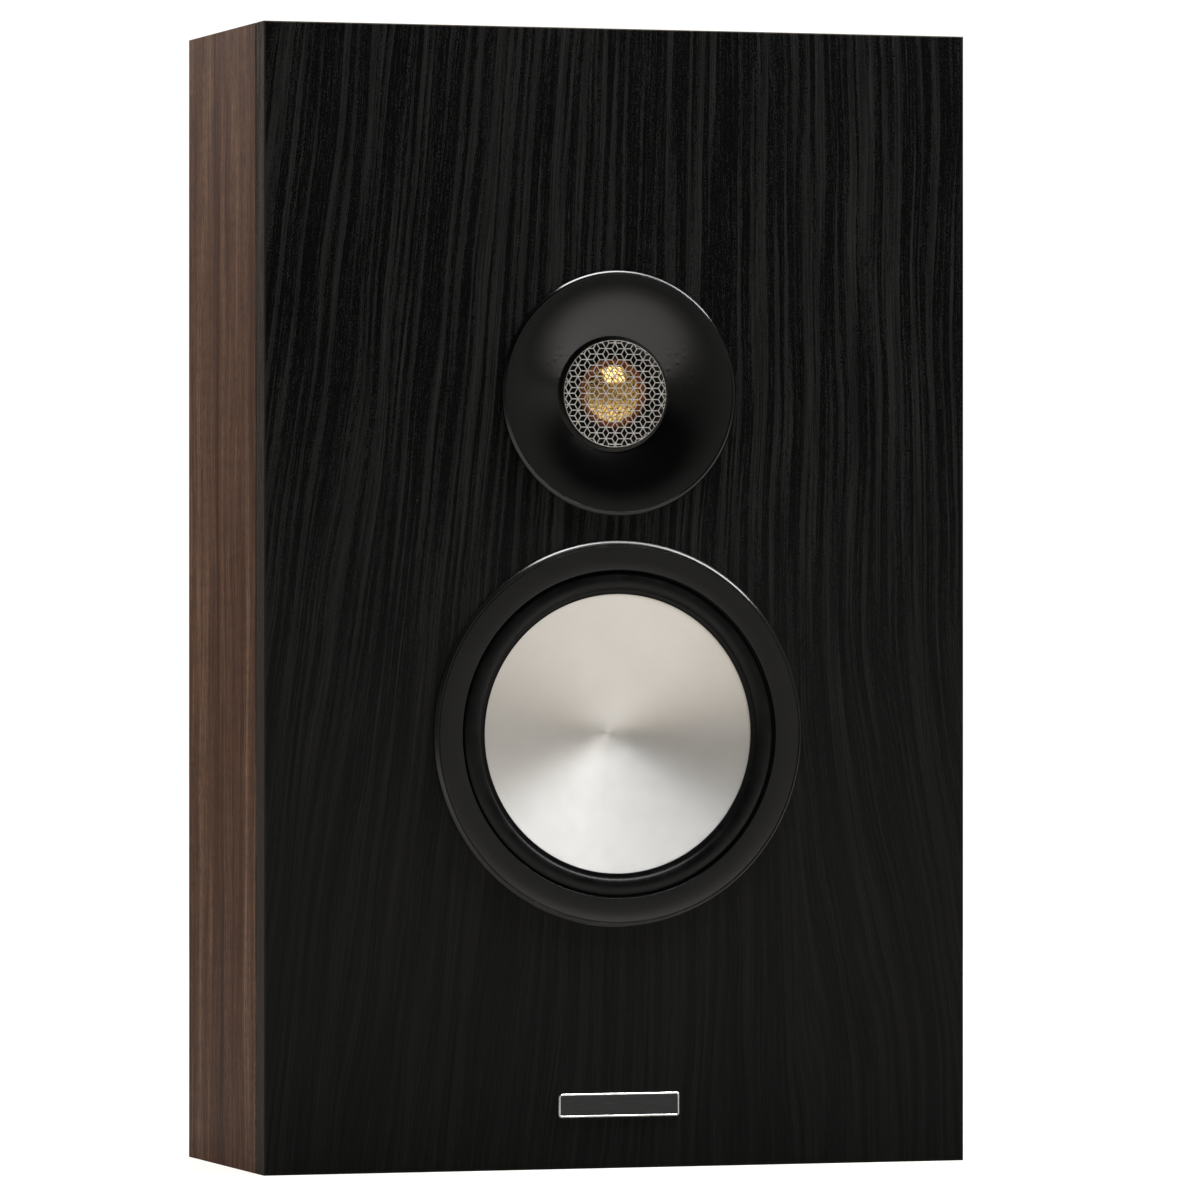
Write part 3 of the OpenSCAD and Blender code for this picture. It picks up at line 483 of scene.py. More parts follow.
def satin_black(slot, rough=0.19, tone=0.008, dimples=False):
    """Satin black trim. The waveguide's has shallow dimples above its throat that fade outwards."""
    look = Look(slot, grey(tone, 0.03), rough, specular=0.62)
    skin = look.noise(look.place(), 0.22, 3.0, 0.6)
    cloud = look.noise(look.place(), 12, 2.0)
    look.tint(cloud, grey(0.9 * tone, 0.03), grey(1.2 * tone, 0.03))
    look.gloss(skin, rough - 0.02, rough + 0.02)
    look.relief(skin, 0.006)
    if dimples:
        x, _, z = look.parts(look.place())
        pit = look.fit(look.cells(look.vector(x, 0.0, z), 3.0, spread=0.5), 0.1, 0.45)
        near = look.fit(look.radius_from(TWEETER), 26, 36, 1.0, 0.0)
        upper = look.fit(z, TWEETER[1] / MM - 10, TWEETER[1] / MM + 10)
        look.relief(look.times(pit, look.times(near, upper)), 0.06)
    return look.material


def rubber(slot, colour=grey(0.0015), rough=0.37):
    """Moulded rubber with a faint matt bloom."""
    look = Look(slot, colour, rough, specular=0.24)
    bloom = look.noise(look.place(), 7, 4.0, 0.6)
    skin = look.noise(look.place(), 0.3, 3.0)
    bright = tuple(1.5 * c + 0.001 for c in colour)
    look.set("Base Color", look.ramp(bloom, (0.35, colour), (0.75, bright)))
    look.gloss(bloom, rough - 0.05, rough + 0.08)
    look.relief(skin, 0.01)
    return look.material


def cone_metal(slot):
    """Satin spun metal: its turning marks spread the light out and in, and less round the cone."""
    look = Look(slot, (0.80, 0.77, 0.73), 0.5, metallic=1.0, Anisotropic=0.75)
    x, z = look.offsets_from(WOOFER)
    outwards = look.add("VectorMath", "Vector", {0: look.vector(x, 0.0, z)}, operation="NORMALIZE")
    look.set("Tangent", outwards)
    cloud = look.noise(look.place(), 18, 3.0, 0.5)
    look.tint(cloud, (0.785, 0.728, 0.658), (0.815, 0.760, 0.692))
    uneven = look.fit(look.noise(look.place(), 5, 4.0, 0.6), 0.25, 0.75, 0.46, 0.50)
    look.set("Roughness", look.maths("ADD", uneven, look.fit(look.radius_from(WOOFER), 1, 11, 0.2, 0.0)))
    look.relief(look.noise(look.place(), 0.16, 3.0, 0.65), 0.006)
    return look.material


def plain_metal(slot, colour, rough, brush=(1, 1, 1), height=0.01, edge=0.0):
    """Metal with machining or brush marks drawn out along one axis."""
    look = Look(slot, colour, rough, metallic=1.0)
    marks = look.noise(look.place(brush), 0.25, 4.0, 0.65)
    cloud = look.noise(look.place(), 8, 3.0, 0.55)
    dull = tuple(c * 0.86 for c in colour)
    look.set("Base Color", look.ramp(cloud, (0.3, dull), (0.65, colour)))
    look.set("Roughness", look.fit(marks, 0.25, 0.75, rough - 0.07, rough + 0.09))
    if edge:
        look.soften(edge)
    look.relief(marks, height)
    return look.material


def gold_dome(slot):
    """Bright gold-coloured metal with a trace of spinning marks."""
    look = Look(slot, (0.95, 0.61, 0.21), 0.12, metallic=1.0)
    rings = look.noise(look.vector(look.radius_from(TWEETER), 0.0, 0.0), 0.25, 3.0)
    cloud = look.noise(look.place(), 3, 2.0)
    look.tint(cloud, (0.92, 0.57, 0.17), (0.97, 0.65, 0.24))
    look.gloss(rings, 0.09, 0.15)
    look.relief(rings, 0.002)
    return look.material


def copper_rubber(slot):
    """The tweeter's surround: coppery where it is glued to the dome, and nearly black from there out."""
    look = Look(slot, (0.32, 0.085, 0.03), 0.35, specular=0.2)
    bloom = look.noise(look.place(), 1.2, 3.0)
    copper = look.ramp(bloom, (0.3, (0.34, 0.10, 0.03)), (0.7, (0.52, 0.18, 0.055)))
    outwards = look.fit(look.radius_from(TWEETER), 12.8, 14.2)
    look.set("Base Color", look.mix(outwards, copper, grey(0.004)))
    look.relief(bloom, 0.01)
    return look.material


def badge_metal(slot):
    """A dark brushed plate. Its bevel has a look of its own."""
    look = Look(slot, grey(0.03), 0.32, metallic=1.0)
    marks = look.noise(look.place((40, 1, 1)), 0.2, 4.0, 0.7)
    look.tint(marks, grey(0.035), grey(0.075))
    look.gloss(marks, 0.28, 0.42)
    look.relief(marks, 0.004)
    return look.material


def foam(slot):
    """Open-cell acoustic foam, painted darker in the middle of each cell as shade in its hollows."""
    look = Look(slot, grey(0.02), 0.95, specular=0.1, Sheen_Weight=0.25, Sheen_Roughness=0.6)
    cells = look.cells(look.place(), 0.8)
    # Painted shade: darkest at each cell's centre, where the relief sinks into a hollow.
    look.set("Base Color", look.ramp(cells, (0.0, grey(0.006)), (0.5, grey(0.026))))
    look.relief(cells, 0.35)
    return look.material


def cloth(slot, colour, thread=0.7):
    """Woven cloth set in resin, with its threads along X and Z, and painted shade where the weave sinks
    between threads.
    """
    look = Look(slot, colour, 0.6, specular=0.4)
    x, _, z = look.parts(look.place())
    waves = [look.maths("SINE", look.times(a, 2 * math.pi / thread)) for a in (x, z)]
    weave = look.fit(look.times(*waves), -1.0, 1.0)
    dark = tuple(c * 0.6 for c in colour)
    # Painted shade: the weave is darker where its relief is low, between the threads.
    look.set("Base Color", look.ramp(weave, (0.1, dark), (0.8, colour)))
    look.relief(weave, 0.08)
    return look.material


def wound_wire(slot, colour):
    """Enamelled copper under a thin gloss coat."""
    look = Look(slot, colour, 0.3, metallic=1.0, Coat_Weight=0.5, Coat_Roughness=0.15)
    turn_marks = look.noise(look.place((6, 0.4, 6)), 0.5, 2.0)
    look.tint(turn_marks, tuple(c * 0.75 for c in colour), colour)
    look.relief(turn_marks, 0.02)
    return look.material


def moulded(slot, colour, rough=0.3, edge=0.3, coat=0.0):
    """Coloured plastic with soft edges and a barely uneven gloss."""
    look = Look(slot, colour, rough, Coat_Weight=coat, Coat_Roughness=0.1)
    skin = look.noise(look.place(), 0.6, 3.0)
    cloud = look.noise(look.place(), 5, 2.0)
    look.tint(cloud, tuple(c * 0.9 for c in colour), colour)
    look.gloss(skin, rough - 0.05, rough + 0.08)
    look.soften(edge)
    look.relief(skin, 0.01)
    return look.material


def ferrite(slot):
    """Pressed ceramic magnet: dark, dusty and pitted."""
    look = Look(slot, grey(0.018), 0.72, specular=0.35)
    pits = look.fit(look.noise(look.place(), 0.7, 4.0, 0.7), 0.3, 0.6)
    look.tint(look.noise(look.place(), 6, 4.0), grey(0.012), grey(0.03))
    look.soften(0.4)
    look.relief(pits, 0.06)
    return look.material


def circuit_board(slot):
    """Green solder mask over copper tracks on a grid."""
    look = Look(slot, (0.01, 0.07, 0.025), 0.28)
    grid = look.cells(look.place((1, 1, 1.6)), 7, feature="DISTANCE_TO_EDGE", spread=0.0)
    track = look.fit(grid, 0.05, 0.11, 1.0, 0.0)
    look.set("Base Color", look.mix(track, (0.006, 0.045, 0.017), (0.022, 0.13, 0.045)))
    look.relief(track, 0.06)
    return look.material


LOOKS = {
    "black_oak": black_oak,
    "walnut": walnut,
    "black_panel": lacquered_board,
    "raw_board": raw_board,
    "foam": foam,
    "badge_metal": badge_metal,
    "satin_black_metal": satin_black,
    "black_rubber": rubber,
    "cone_metal": cone_metal,
    "former_film": lambda slot: moulded(slot, (0.55, 0.30, 0.07), 0.3, 0.05, coat=0.4),
    "copper_wire": lambda slot: wound_wire(slot, (0.85, 0.36, 0.18)),
    "copper_braid": lambda slot: plain_metal(slot, (0.80, 0.40, 0.22), 0.45, (1, 1, 1), 0.03),
    "spider_cloth": lambda slot: cloth(slot, (0.52, 0.27, 0.06)),
    "cast_black": lambda slot: coated(slot, grey(0.014), 0.5, 0.5, 0.05, edge=0.4),
    "zinc_steel": lambda slot: plain_metal(slot, (0.60, 0.60, 0.58), 0.34, (1, 6, 1), 0.01, edge=0.2),
    "ferrite": ferrite,
    "phenolic": lambda slot: moulded(slot, (0.16, 0.06, 0.025), 0.5, 0.2),
    "grille_steel": lambda slot: plain_metal(slot, (0.90, 0.86, 0.81), 0.40),
    "gold_dome": gold_dome,
    "copper_rubber": copper_rubber,
    "former_aluminium": lambda slot: plain_metal(slot, (0.86, 0.86, 0.84), 0.3, (1, 5, 1)),
    "black_plastic": lambda slot: coated(slot, grey(0.013), 0.42, 0.55, 0.04, edge=0.35),
    "gasket_foam": lambda slot: rubber(slot, grey(0.02), 0.8),
    "black_steel": lambda slot: coated(slot, grey(0.016), 0.34, 0.4, 0.01, edge=0.15, specular=0.8),
    "brass_plate": lambda slot: plain_metal(slot, (0.78, 0.60, 0.28), 0.32, (1, 5, 1), 0.01, edge=0.1),
    "circuit_board": circuit_board,
    "white_nylon": lambda slot: moulded(slot, (0.72, 0.70, 0.64), 0.45, 0.3),
    "bobbin_plastic": lambda slot: moulded(slot, (0.68, 0.60, 0.46), 0.5, 0.3),
    "capacitor_film": lambda slot: moulded(slot, (0.66, 0.43, 0.03), 0.22, 0.9, coat=0.5),
    "resistor_ceramic": lambda slot: coated(slot, grey(0.66, 0.02), 0.75, 0.5, 0.05, edge=0.5),
    "red_wire": lambda slot: moulded(slot, (0.33, 0.012, 0.01), 0.3, 0.05),
    "black_wire": lambda slot: moulded(slot, grey(0.012), 0.3, 0.05),
    "white_wire": lambda slot: moulded(slot, (0.66, 0.65, 0.61), 0.32, 0.05),
    "gold_plate": lambda slot: plain_metal(slot, (0.93, 0.66, 0.26), 0.2, (1, 8, 1), 0.004, edge=0.2),
    "red_plastic": lambda slot: moulded(slot, (0.36, 0.008, 0.008), 0.26, 0.25, coat=0.3),
    "black_cap_plastic": lambda slot: moulded(slot, grey(0.011), 0.26, 0.25, coat=0.3),
    "plated_steel": lambda slot: plain_metal(slot, (0.70, 0.69, 0.66), 0.26, (1, 1, 8), 0.006, edge=0.25),
}

finishes = {slot: build(slot) for slot, build in LOOKS.items()}
slot_of = {part["node"]: part["material_slot"] for part in frame["record"]["subparts"]}


def finish_mesh(mesh, material):
    """Gives a mesh one material, in place of any it has."""
    mesh.materials.clear()
    mesh.materials.append(material)


for node, piece in frame["nodes"].items():
    finish_mesh(piece.data, finishes[slot_of[node]])

cross_grain = walnut("walnut_cross_grain", across="Y", along="X")
for node in ("top_panel", "bottom_panel"):
    finish_mesh(frame["nodes"][node].data, cross_grain)


def piece_of(mesh, *nodes, material=None):
    """An object that stands for CAD nodes, with the finish of the first one's slot, on no body yet."""
    obj = bpy.data.objects.new(mesh.name, mesh)
    bpy.context.scene.collection.objects.link(obj)
    finish_mesh(mesh, material or finishes[slot_of[nodes[0]]])
    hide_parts(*nodes)
    return obj


def stretches(obj):
    """Bakes obj's transform into its mesh, and leaves obj on no body.
    """
    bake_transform(obj)


# ---------- woofer ----------

TRIM_R = 76.3
TRIM_IN_R = 64.9
TRIM_PROUD = 2.0
CONE_R = 55.2
CONE_RIM_R = 57.0
CONE_NOSE_R = 8.0
CONE_DEPTH = 13.5
CONE_T = 0.4
FLANGE_D = 1.0
SURROUND_T = 0.7
SURROUND_OUT_R = 64.4
SURROUND_LAND_R = 68.0
SURROUND_CREST_D = -1.9


def woofer_trim_ring():
    """A flat ring with a bright chamfer, a hairline groove beside it and a rolled inner edge."""
    chamfer = [(TRIM_R, 0, 0), (TRIM_R, -0.95, 0.15), (TRIM_R - 0.62, -1.53, 1.5),
               (TRIM_R - 1.25, -TRIM_PROUD, 0.1)]
    groove = [(TRIM_R - 1.4, -TRIM_PROUD, 0.08), (TRIM_R - 1.6, -TRIM_PROUD + 0.4, 0.06),
              (TRIM_R - 1.9, -TRIM_PROUD + 0.4, 0.06), (TRIM_R - 2.1, -TRIM_PROUD + 0.05, 0.15)]
    back = [(TRIM_IN_R, -TRIM_PROUD + 0.1, 0.12), (TRIM_IN_R, 0.3, 0), (TRIM_IN_R + 1.6, 0.3, 0),
            (TRIM_IN_R + 1.6, -0.1, 0), (TRIM_R - 1.7, -0.3, 0), (TRIM_R - 1.7, 0, 0)]
    outline = rounded(chamfer + groove + back)
    ring = piece_of(turned("trim_ring", outline, WOOFER, 288, sharp=50), "woofer_trim_ring")
    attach(ring, "cabinet")


def woofer_surround():
    """A half-roll rubber surround between two flat lands."""
    hub = (CONE_RIM_R + SURROUND_OUT_R) / 2
    half = (SURROUND_OUT_R - CONE_RIM_R) / 2
    front, back = FLANGE_D - SURROUND_T, FLANGE_D
    rise = front - SURROUND_CREST_D
    outline = rounded([(CONE_R, back, 0), (CONE_R, front, 0.12), (CONE_R + 0.7, front - 0.12, 0.3)])[1:]
    outline += arc((hub, front), (half, -rise), 176, 4, 28)
    outline += rounded([(SURROUND_LAND_R, front, 0), (SURROUND_LAND_R, back, 0)])
    outline += arc((hub, back), (half - 0.6, -rise), 4, 176, 28)
    outline.append((CONE_R, back))
    roll = piece_of(turned("half_roll", outline, WOOFER, 256, sharp=60), "woofer_surround")
    stretches(roll)


def cone_surface(radius):
    """The depth of the cone's face, which has no dust cap: steep sides that run into a round nose."""
    def bend(r):
        return math.sqrt(1 + (r / CONE_NOSE_R) ** 2)
    return FLANGE_D + CONE_DEPTH * (bend(CONE_R) - bend(radius)) / (bend(CONE_R) - 1)


def woofer_cone():
    """A thin metal bowl with a flat rim, in one sheet."""
    steps = 56
    radii = [CONE_R * k / steps for k in range(steps + 1)]
    outline = [(r, cone_surface(r)) for r in radii]
    outline += [(CONE_RIM_R, FLANGE_D), (CONE_RIM_R, FLANGE_D + CONE_T)]
    outline += [(r, cone_surface(r) + CONE_T) for r in reversed(radii)]
    cone = piece_of(turned("metal_cone", outline, WOOFER, 288, sharp=60), "woofer_cone")
    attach(cone, "woofer_diaphragm")


def woofer_spider():
    """A corrugated cloth disc between the coil's former and the basket, where its outer land is glued."""
    inner, ring_r, outer = 16.25, 38.5, 42.0
    top_d, thick, swell, pitch = 32.5, 0.5, 1.4, 4.4
    steps = 90
    wave = []
    for k in range(steps + 1):
        r = inner + (ring_r - 0.5 - inner) * k / steps
        wave.append((r, top_d + swell * math.sin(2 * math.pi * (r - inner + 0.05) / pitch)))
    land_d = top_d + thick
    land = [(ring_r, land_d), (outer, land_d), (outer, land_d + thick), (ring_r, land_d + thick)]
    outline = wave + land + [(r, d + thick) for r, d in reversed(wave)]
    spider = piece_of(turned("corrugated_spider", outline, WOOFER, 160, sharp=60), "woofer_spider")
    stretches(spider)


def woofer_leads():
    """Two braided leads from the former to the terminal board. The route is x, height and depth in mm."""
    route = [(5.3, -16.2, 22), (7, -22, 25.5), (8, -32, 25.5),
             (8, -40, 25.5), (8, -45.5, 28), (8, -46.9, 33.4)]
    radius, weave = 0.56, 0.14
    tubes = []
    for side in (-1, 1):
        line = [Vector((side * x * MM, FACE_Y + d * MM, WOOFER[1] - y * MM)) for x, y, d in route]
        tubes.append(tube(smooth_route(line, 18), radius * MM, 16, weave))
    leads = piece_of(made("braided_leads", *joined(tubes), sharp=70), "woofer_lead_wires")
    stretches(leads)


# ---------- tweeter ----------

WAVEGUIDE_R = 48.4
LIP_IN_R = 46.7
LIP_IN_D = -1.6
FLARE_DEPTH = 8.1
THROAT_R = 21.6
REBATE_R = 46.4
CHASSIS_D = 9.5
WAVEGUIDE_T = 2.4
GRILLE_R = 21.2
GRILLE_RIM = 0.2
GRILLE_D = 4.7
GRILLE_T = 0.6
LATTICE_PITCH = 4.45
LATTICE_BAR = 0.38
DOME_R = 12.4
DOME_H = 3.1
DOME_D = 9.1
DOME_T = 0.2


def flare(radius):
    """The depth of the horn's face."""
    return LIP_IN_D + FLARE_DEPTH * ((LIP_IN_R - radius) / (LIP_IN_R - THROAT_R)) ** 2


def tweeter_waveguide():
    """A shallow horn with a bright outer chamfer."""
    steps = 44
    seat_r = REBATE_R - 1.8
    socket_r = THROAT_R + 3.4
    radii = [LIP_IN_R + (THROAT_R - LIP_IN_R) * k / steps for k in range(steps + 1)]
    rim = rounded([(WAVEGUIDE_R, 0, 0), (WAVEGUIDE_R, -1.1, 0.15), (WAVEGUIDE_R - 0.55, -1.6, 0.8),
                   (WAVEGUIDE_R - 1.15, -2, 0.1), (LIP_IN_R + 0.2, -2, 0.1), (LIP_IN_R, LIP_IN_D, 0)])[:-1]
    front = [(r, flare(r)) for r in radii]
    back = [(r, flare(r) + WAVEGUIDE_T) for r in reversed(radii) if THROAT_R + 4 < r < REBATE_R - 2]
    throat = [(THROAT_R, CHASSIS_D), (socket_r, CHASSIS_D), (socket_r, flare(THROAT_R + 4) + WAVEGUIDE_T)]
    seat = [(seat_r, 1), (seat_r, 3.5), (REBATE_R - 0.1, 3.5), (REBATE_R - 0.1, 0)]
    mesh = turned("shallow_horn", rim + front + throat + back + seat, TWEETER, 256, sharp=50)
    dimpled = satin_black("satin_black_dimpled", 0.15, 0.0018, dimples=True)
    horn = piece_of(mesh, "tweeter_waveguide", material=dimpled)
    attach(horn, "cabinet")


def clipped(polygon, radius, sides=96):
    """The part of a convex polygon that is inside a circle."""
    for s in range(sides):
        a = 2 * math.pi * s / sides
        normal = Vector((math.cos(a), math.sin(a)))
        kept = []
        for k, here in enumerate(polygon):
            before = polygon[k - 1]
            out_before, out_here = before.dot(normal) - radius, here.dot(normal) - radius
            if out_before * out_here < 0:
                kept.append(before.lerp(here, out_before / (out_before - out_here)))
            if out_here <= 0:
                kept.append(here)
        polygon = kept
        if len(polygon) < 3:
            return []
    return polygon


def area(polygon):
    sides = zip(polygon, polygon[1:] + polygon[:1])
    return abs(sum(p.x * q.y - q.x * p.y for p, q in sides)) / 2


def lattice_holes():
    """The grille's rhombic holes: stars of six bars on a triangular grid, with a hole between each two."""
    smallest = 0.12
    count = math.ceil(GRILLE_R / LATTICE_PITCH) + 2
    long_half = LATTICE_PITCH / 2 - LATTICE_BAR
    short_half = LATTICE_PITCH / (2 * math.sqrt(3)) - LATTICE_BAR / math.sqrt(3)
    holes = []
    for i in range(-count, count + 1):
        for j in range(-count, count + 1):
            star = Vector((i * math.sqrt(3) / 2, j + 0.5 + abs(i) % 2 / 2)) * LATTICE_PITCH
            for turn in (0, math.pi / 3, 2 * math.pi / 3):
                along = Vector((-math.sin(turn), math.cos(turn)))
                across = Vector((math.cos(turn), math.sin(turn)))
                hub = star + along * LATTICE_PITCH / 2
                corners = [hub - along * long_half, hub + across * short_half,
                           hub + along * long_half, hub - across * short_half]
                hole = clipped(corners, GRILLE_R - GRILLE_RIM)
                if hole and area(hole) > smallest:
                    holes.append(hole)
    return holes


def tweeter_grille():
    """An etched metal lattice with softened edges, on a thin ring."""
    soft = 0.09
    around = 160
    curve = bpy.data.curves.new("lattice", "CURVE")
    curve.dimensions = "2D"
    curve.fill_mode = "BOTH"
    rim = [Vector(at) for at in arc((0, 0), (GRILLE_R, GRILLE_R), 0, 360, around)[:-1]]
    for loop in [rim] + lattice_holes():
        spline = curve.splines.new("POLY")
        spline.points.add(len(loop) - 1)
        for point, at in zip(spline.points, loop):
            point.co = (at.x * MM, at.y * MM, 0, 1)
        spline.use_cyclic_u = True
    curve.bevel_depth = soft * MM
    curve.bevel_resolution = 1
    curve.extrude = (GRILLE_T / 2 - soft) * MM
    curve.offset = -soft * MM
    drawn = bpy.data.objects.new("lattice", curve)
    bpy.context.scene.collection.objects.link(drawn)
    graph = bpy.context.evaluated_depsgraph_get()
    flat, faces = taken(bpy.data.meshes.new_from_object(drawn.evaluated_get(graph)))
    bpy.data.objects.remove(drawn)
    middle_y = FACE_Y + (GRILLE_D + GRILLE_T / 2) * MM
    lattice = [(TWEETER[0] + x, middle_y + z, TWEETER[1] - y) for x, y, z in flat]
    inner, back = GRILLE_R - GRILLE_RIM, GRILLE_D + GRILLE_T
    outline = [(inner, back), (GRILLE_R, back), (GRILLE_R, CHASSIS_D), (inner, CHASSIS_D)]
    wall = taken(turned("wall", outline, TWEETER, around))
    mesh = made("lattice_grille", *joined([(lattice, faces), wall]), sharp=30)
    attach(piece_of(mesh, "tweeter_grille"), "cabinet")


def dome_ball():
    """The radius of the dome's ball in mm."""
    return (DOME_R ** 2 + DOME_H ** 2) / (2 * DOME_H)


def dome_surface(radius):
    """The depth of the dome's face."""
    ball = dome_ball()
    return DOME_D - DOME_H + ball - math.sqrt(ball ** 2 - radius ** 2)


def tweeter_dome():
    """A shallow ball-shaped dome with a flat rim."""
    ball = dome_ball()
    half = math.degrees(math.asin(DOME_R / ball))
    hub = (0, DOME_D + ball - DOME_H)
    outline = arc(hub, (ball, -ball), 90, 90 - half, 30)
    outline += [(DOME_R + 0.55, DOME_D), (DOME_R + 0.55, DOME_D + DOME_T), (DOME_R, DOME_D + DOME_T)]
    outline += arc(hub, (ball - DOME_T, DOME_T - ball), 90 - half + 1, 90, 30)
    dome = piece_of(turned("gold_cap", outline, TWEETER, 160, sharp=40), "tweeter_dome")
    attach(dome, "tweeter_diaphragm")


def tweeter_surround():
    """A thin roll whose inner lip is glued over the dome's edge."""
    hub = DOME_R + 1.9
    lip = [DOME_R - 1.3 + 1.25 * k / 6 for k in range(7)]
    outline = [(r, dome_surface(r) - 0.14) for r in lip]
    outline += arc((hub, DOME_D - 0.35), (1.3, -1.1), 160, 0, 20)
    outline += [(19.5, CHASSIS_D - 0.4), (19.5, CHASSIS_D), (hub + 1.5, CHASSIS_D)]
    outline += arc((hub, DOME_D - 0.05), (1, -1), 0, 180, 20)
    outline += [(DOME_R + 0.05, DOME_D - 0.05)]
    outline += [(r, dome_surface(r) - 0.03) for r in reversed(lip)]
    roll = piece_of(turned("copper_roll", outline, TWEETER, 160, sharp=50), "tweeter_surround")
    stretches(roll)


# ---------- cabinet ----------

def rectangle(width, height, corner, steps=6):
    """A round-cornered rectangle about the origin, in mm."""
    x, y = width / 2, height / 2
    return rounded([(-x, -y, corner), (x, -y, corner), (x, y, corner), (-x, y, corner)], steps)


def name_badge():
    """A blank dark plate with a bright bevelled edge. Each level is an inset from the edge and a depth."""
    low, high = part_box("name_badge")
    width, height = (high.x - low.x) / MM, (high.z - low.z) / MM
    front = depth(low.y)
    levels = [(0.0, 0.0), (0.0, front + 0.25), (0.28, front), (0.62, front), (0.72, front + 0.1)]
    plate_area = 50 * MM * MM
    points, faces = [], []
    for inset, d in levels:
        loop = rectangle(width - 2 * inset, height - 2 * inset, 1.2 - inset * 0.6)
        points += [(BADGE[0] + x * MM, FACE_Y + d * MM, BADGE[1] + z * MM) for x, z in loop]
    count = len(points) // len(levels)
    for level in range(len(levels) - 1):
        for k in range(count):
            n = (k + 1) % count
            outer, inner = level * count, (level + 1) * count
            faces.append((outer + k, outer + n, inner + n, inner + k))
    faces.append(tuple(range((len(levels) - 1) * count, len(levels) * count)))
    faces.append(tuple(range(count)))
    mesh = made("blank_badge", points, faces, sharp=20)
    badge = piece_of(mesh, "name_badge")
    mesh.materials.append(plain_metal("badge_bevel", (0.80, 0.79, 0.77), 0.24))
    for polygon in mesh.polygons:
        in_front = depth(polygon.center.y) <= front + 0.3
        polygon.material_index = 0 if in_front and polygon.area > plate_area else 1
    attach(badge, "cabinet")


def acoustic_foam():
    """Four pads with an egg-crate face towards the middle of the cabinet."""
    wall, front, thickness, width = 130, 25, 16, 70
    spans = [(-1, 40, 232), (1, 40, 232), (-1, 266, 425), (1, 266, 425)]
    for number, (side, low_z, high_z) in enumerate(spans):
        pad = Vector((thickness, width, high_z - low_z)) * MM
        rows, columns = round((high_z - low_z) / 2), 36
        wall_x = side * wall * MM
        points, faces = [], []
        for i in range(rows + 1):
            for j in range(columns + 1):
                u, v = j / columns, i / rows
                edge = min(u, 1 - u, (v * pad.z) / pad.y, ((1 - v) * pad.z) / pad.y) * 12
                fade = min(edge, 1) ** 0.5
                bump = math.sin(math.pi * j / 6) * math.sin(math.pi * i / 12)
                thick = pad.x * (0.55 + 0.45 * fade * (0.5 + 0.5 * bump) ** 0.8)
                y = FACE_Y + front * MM + pad.y * u
                points.append((wall_x - side * thick, y, low_z * MM + pad.z * v))
        face_count = len(points)
        points += [(wall_x, y, z) for _, y, z in points]
        wide = columns + 1
        for i in range(rows):
            for j in range(columns):
                a = i * wide + j
                quad = (a, a + 1, a + wide + 1, a + wide)
                faces += [quad, tuple(face_count + k for k in quad)]
        rim = list(range(wide)) + [i * wide + columns for i in range(1, rows + 1)]
        rim += [rows * wide + j for j in range(columns - 1, -1, -1)]
        rim += [i * wide for i in range(rows - 1, 0, -1)]
        for a, b in zip(rim, rim[1:] + rim[:1]):
            faces.append((a, b, face_count + b, face_count + a))
        obj = piece_of(made(f"foam_pad_{number + 1}", points, faces, sharp=60), "acoustic_foam")
        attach(obj, "cabinet")


def wall_bumpers():
    """Four rubber bumpers with a rounded edge and a shallow dimple."""
    low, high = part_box("wall_bumpers")
    radius = 6.5
    base, top = depth(low.y), depth(high.y)
    side = [(0, base, 0), (radius, base, 0.2), (radius, top - 1, 0.4), (radius - 0.9, top, 0.5)]
    dimple = [(2.4, top, 0.4), (1.9, top - 0.4, 0.3), (0, top - 0.4, 0)]
    outline = rounded(side + dimple)
    parts = []
    for x in (low.x + radius * MM, high.x - radius * MM):
        for z in (low.z + radius * MM, high.z - radius * MM):
            parts.append(taken(turned("bumper", outline, (x, z), 64)))
    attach(piece_of(made("round_bumpers", *joined(parts), sharp=40), "wall_bumpers"), "cabinet")


# ---------- terminals ----------

def binding_cap(colour):
    """A fluted cap whose end is open for a plug."""
    node = f"{colour}_binding_cap"
    centre = middle(node)
    low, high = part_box(node)
    start, end = depth(low.y), depth(high.y)
    bore, radius, flutes = 3.56, 7.5, 14
    flute_start, flute_end = start + 1.9, end - 3.7
    side = [(bore, start, 0), (radius, start, 0.4), (radius, flute_start, 0), (radius, start + 2.3, 0),
            (radius, end - 4.5, 0), (radius, end - 3.6, 0), (radius, end - 1, 0.5)]
    mouth = [(radius - 1, end, 0.5), (bore + 0.8, end, 0.3), (bore, end - 0.7, 0.2)]

    def flute(r, d, angle):
        along = min(max((d - flute_start) / 0.8, 0), 1) * min(max((flute_end - d) / 1.2, 0), 1)
        cut = 0.5 * along * max(0, math.cos(flutes * angle)) ** 1.5
        return (r - cut if r > radius - 1.2 else r), d

    mesh = turned(f"fluted_cap_{colour}", rounded(side + mouth), centre, 336, flute, sharp=50)
    cap = piece_of(mesh, node)
    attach(cap, f"{colour}_cap")


# ---------- crossover ----------

def inductor_windings():
    """Two coils with a ridge for each turn. Each has its x and z, two radii, a height and a wire size."""
    board_d, cheek = 92, 1.6
    coils = [(-52, 385, 7.6, 16.5, 26, 1.15), (-12, 394, 6.6, 12.0, 16, 0.9)]
    parts = []
    for x, z, inner, outer, height, wire in coils:
        start, end = board_d - height + cheek, board_d - cheek
        turns = round((end - start) / wire)
        pitch = (end - start) / turns
        outline = [(inner, start)]
        for k in range(turns):
            hub = (outer - pitch / 2, start + (k + 0.5) * pitch)
            outline += arc(hub, (pitch / 2, pitch / 2), -90, 90, 6)
        outline.append((inner, end))
        parts.append(taken(turned("coil", outline, (x * MM, z * MM), 96)))
    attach(piece_of(made("wound_coils", *joined(parts), sharp=80), "inductor_windings"), "cabinet")


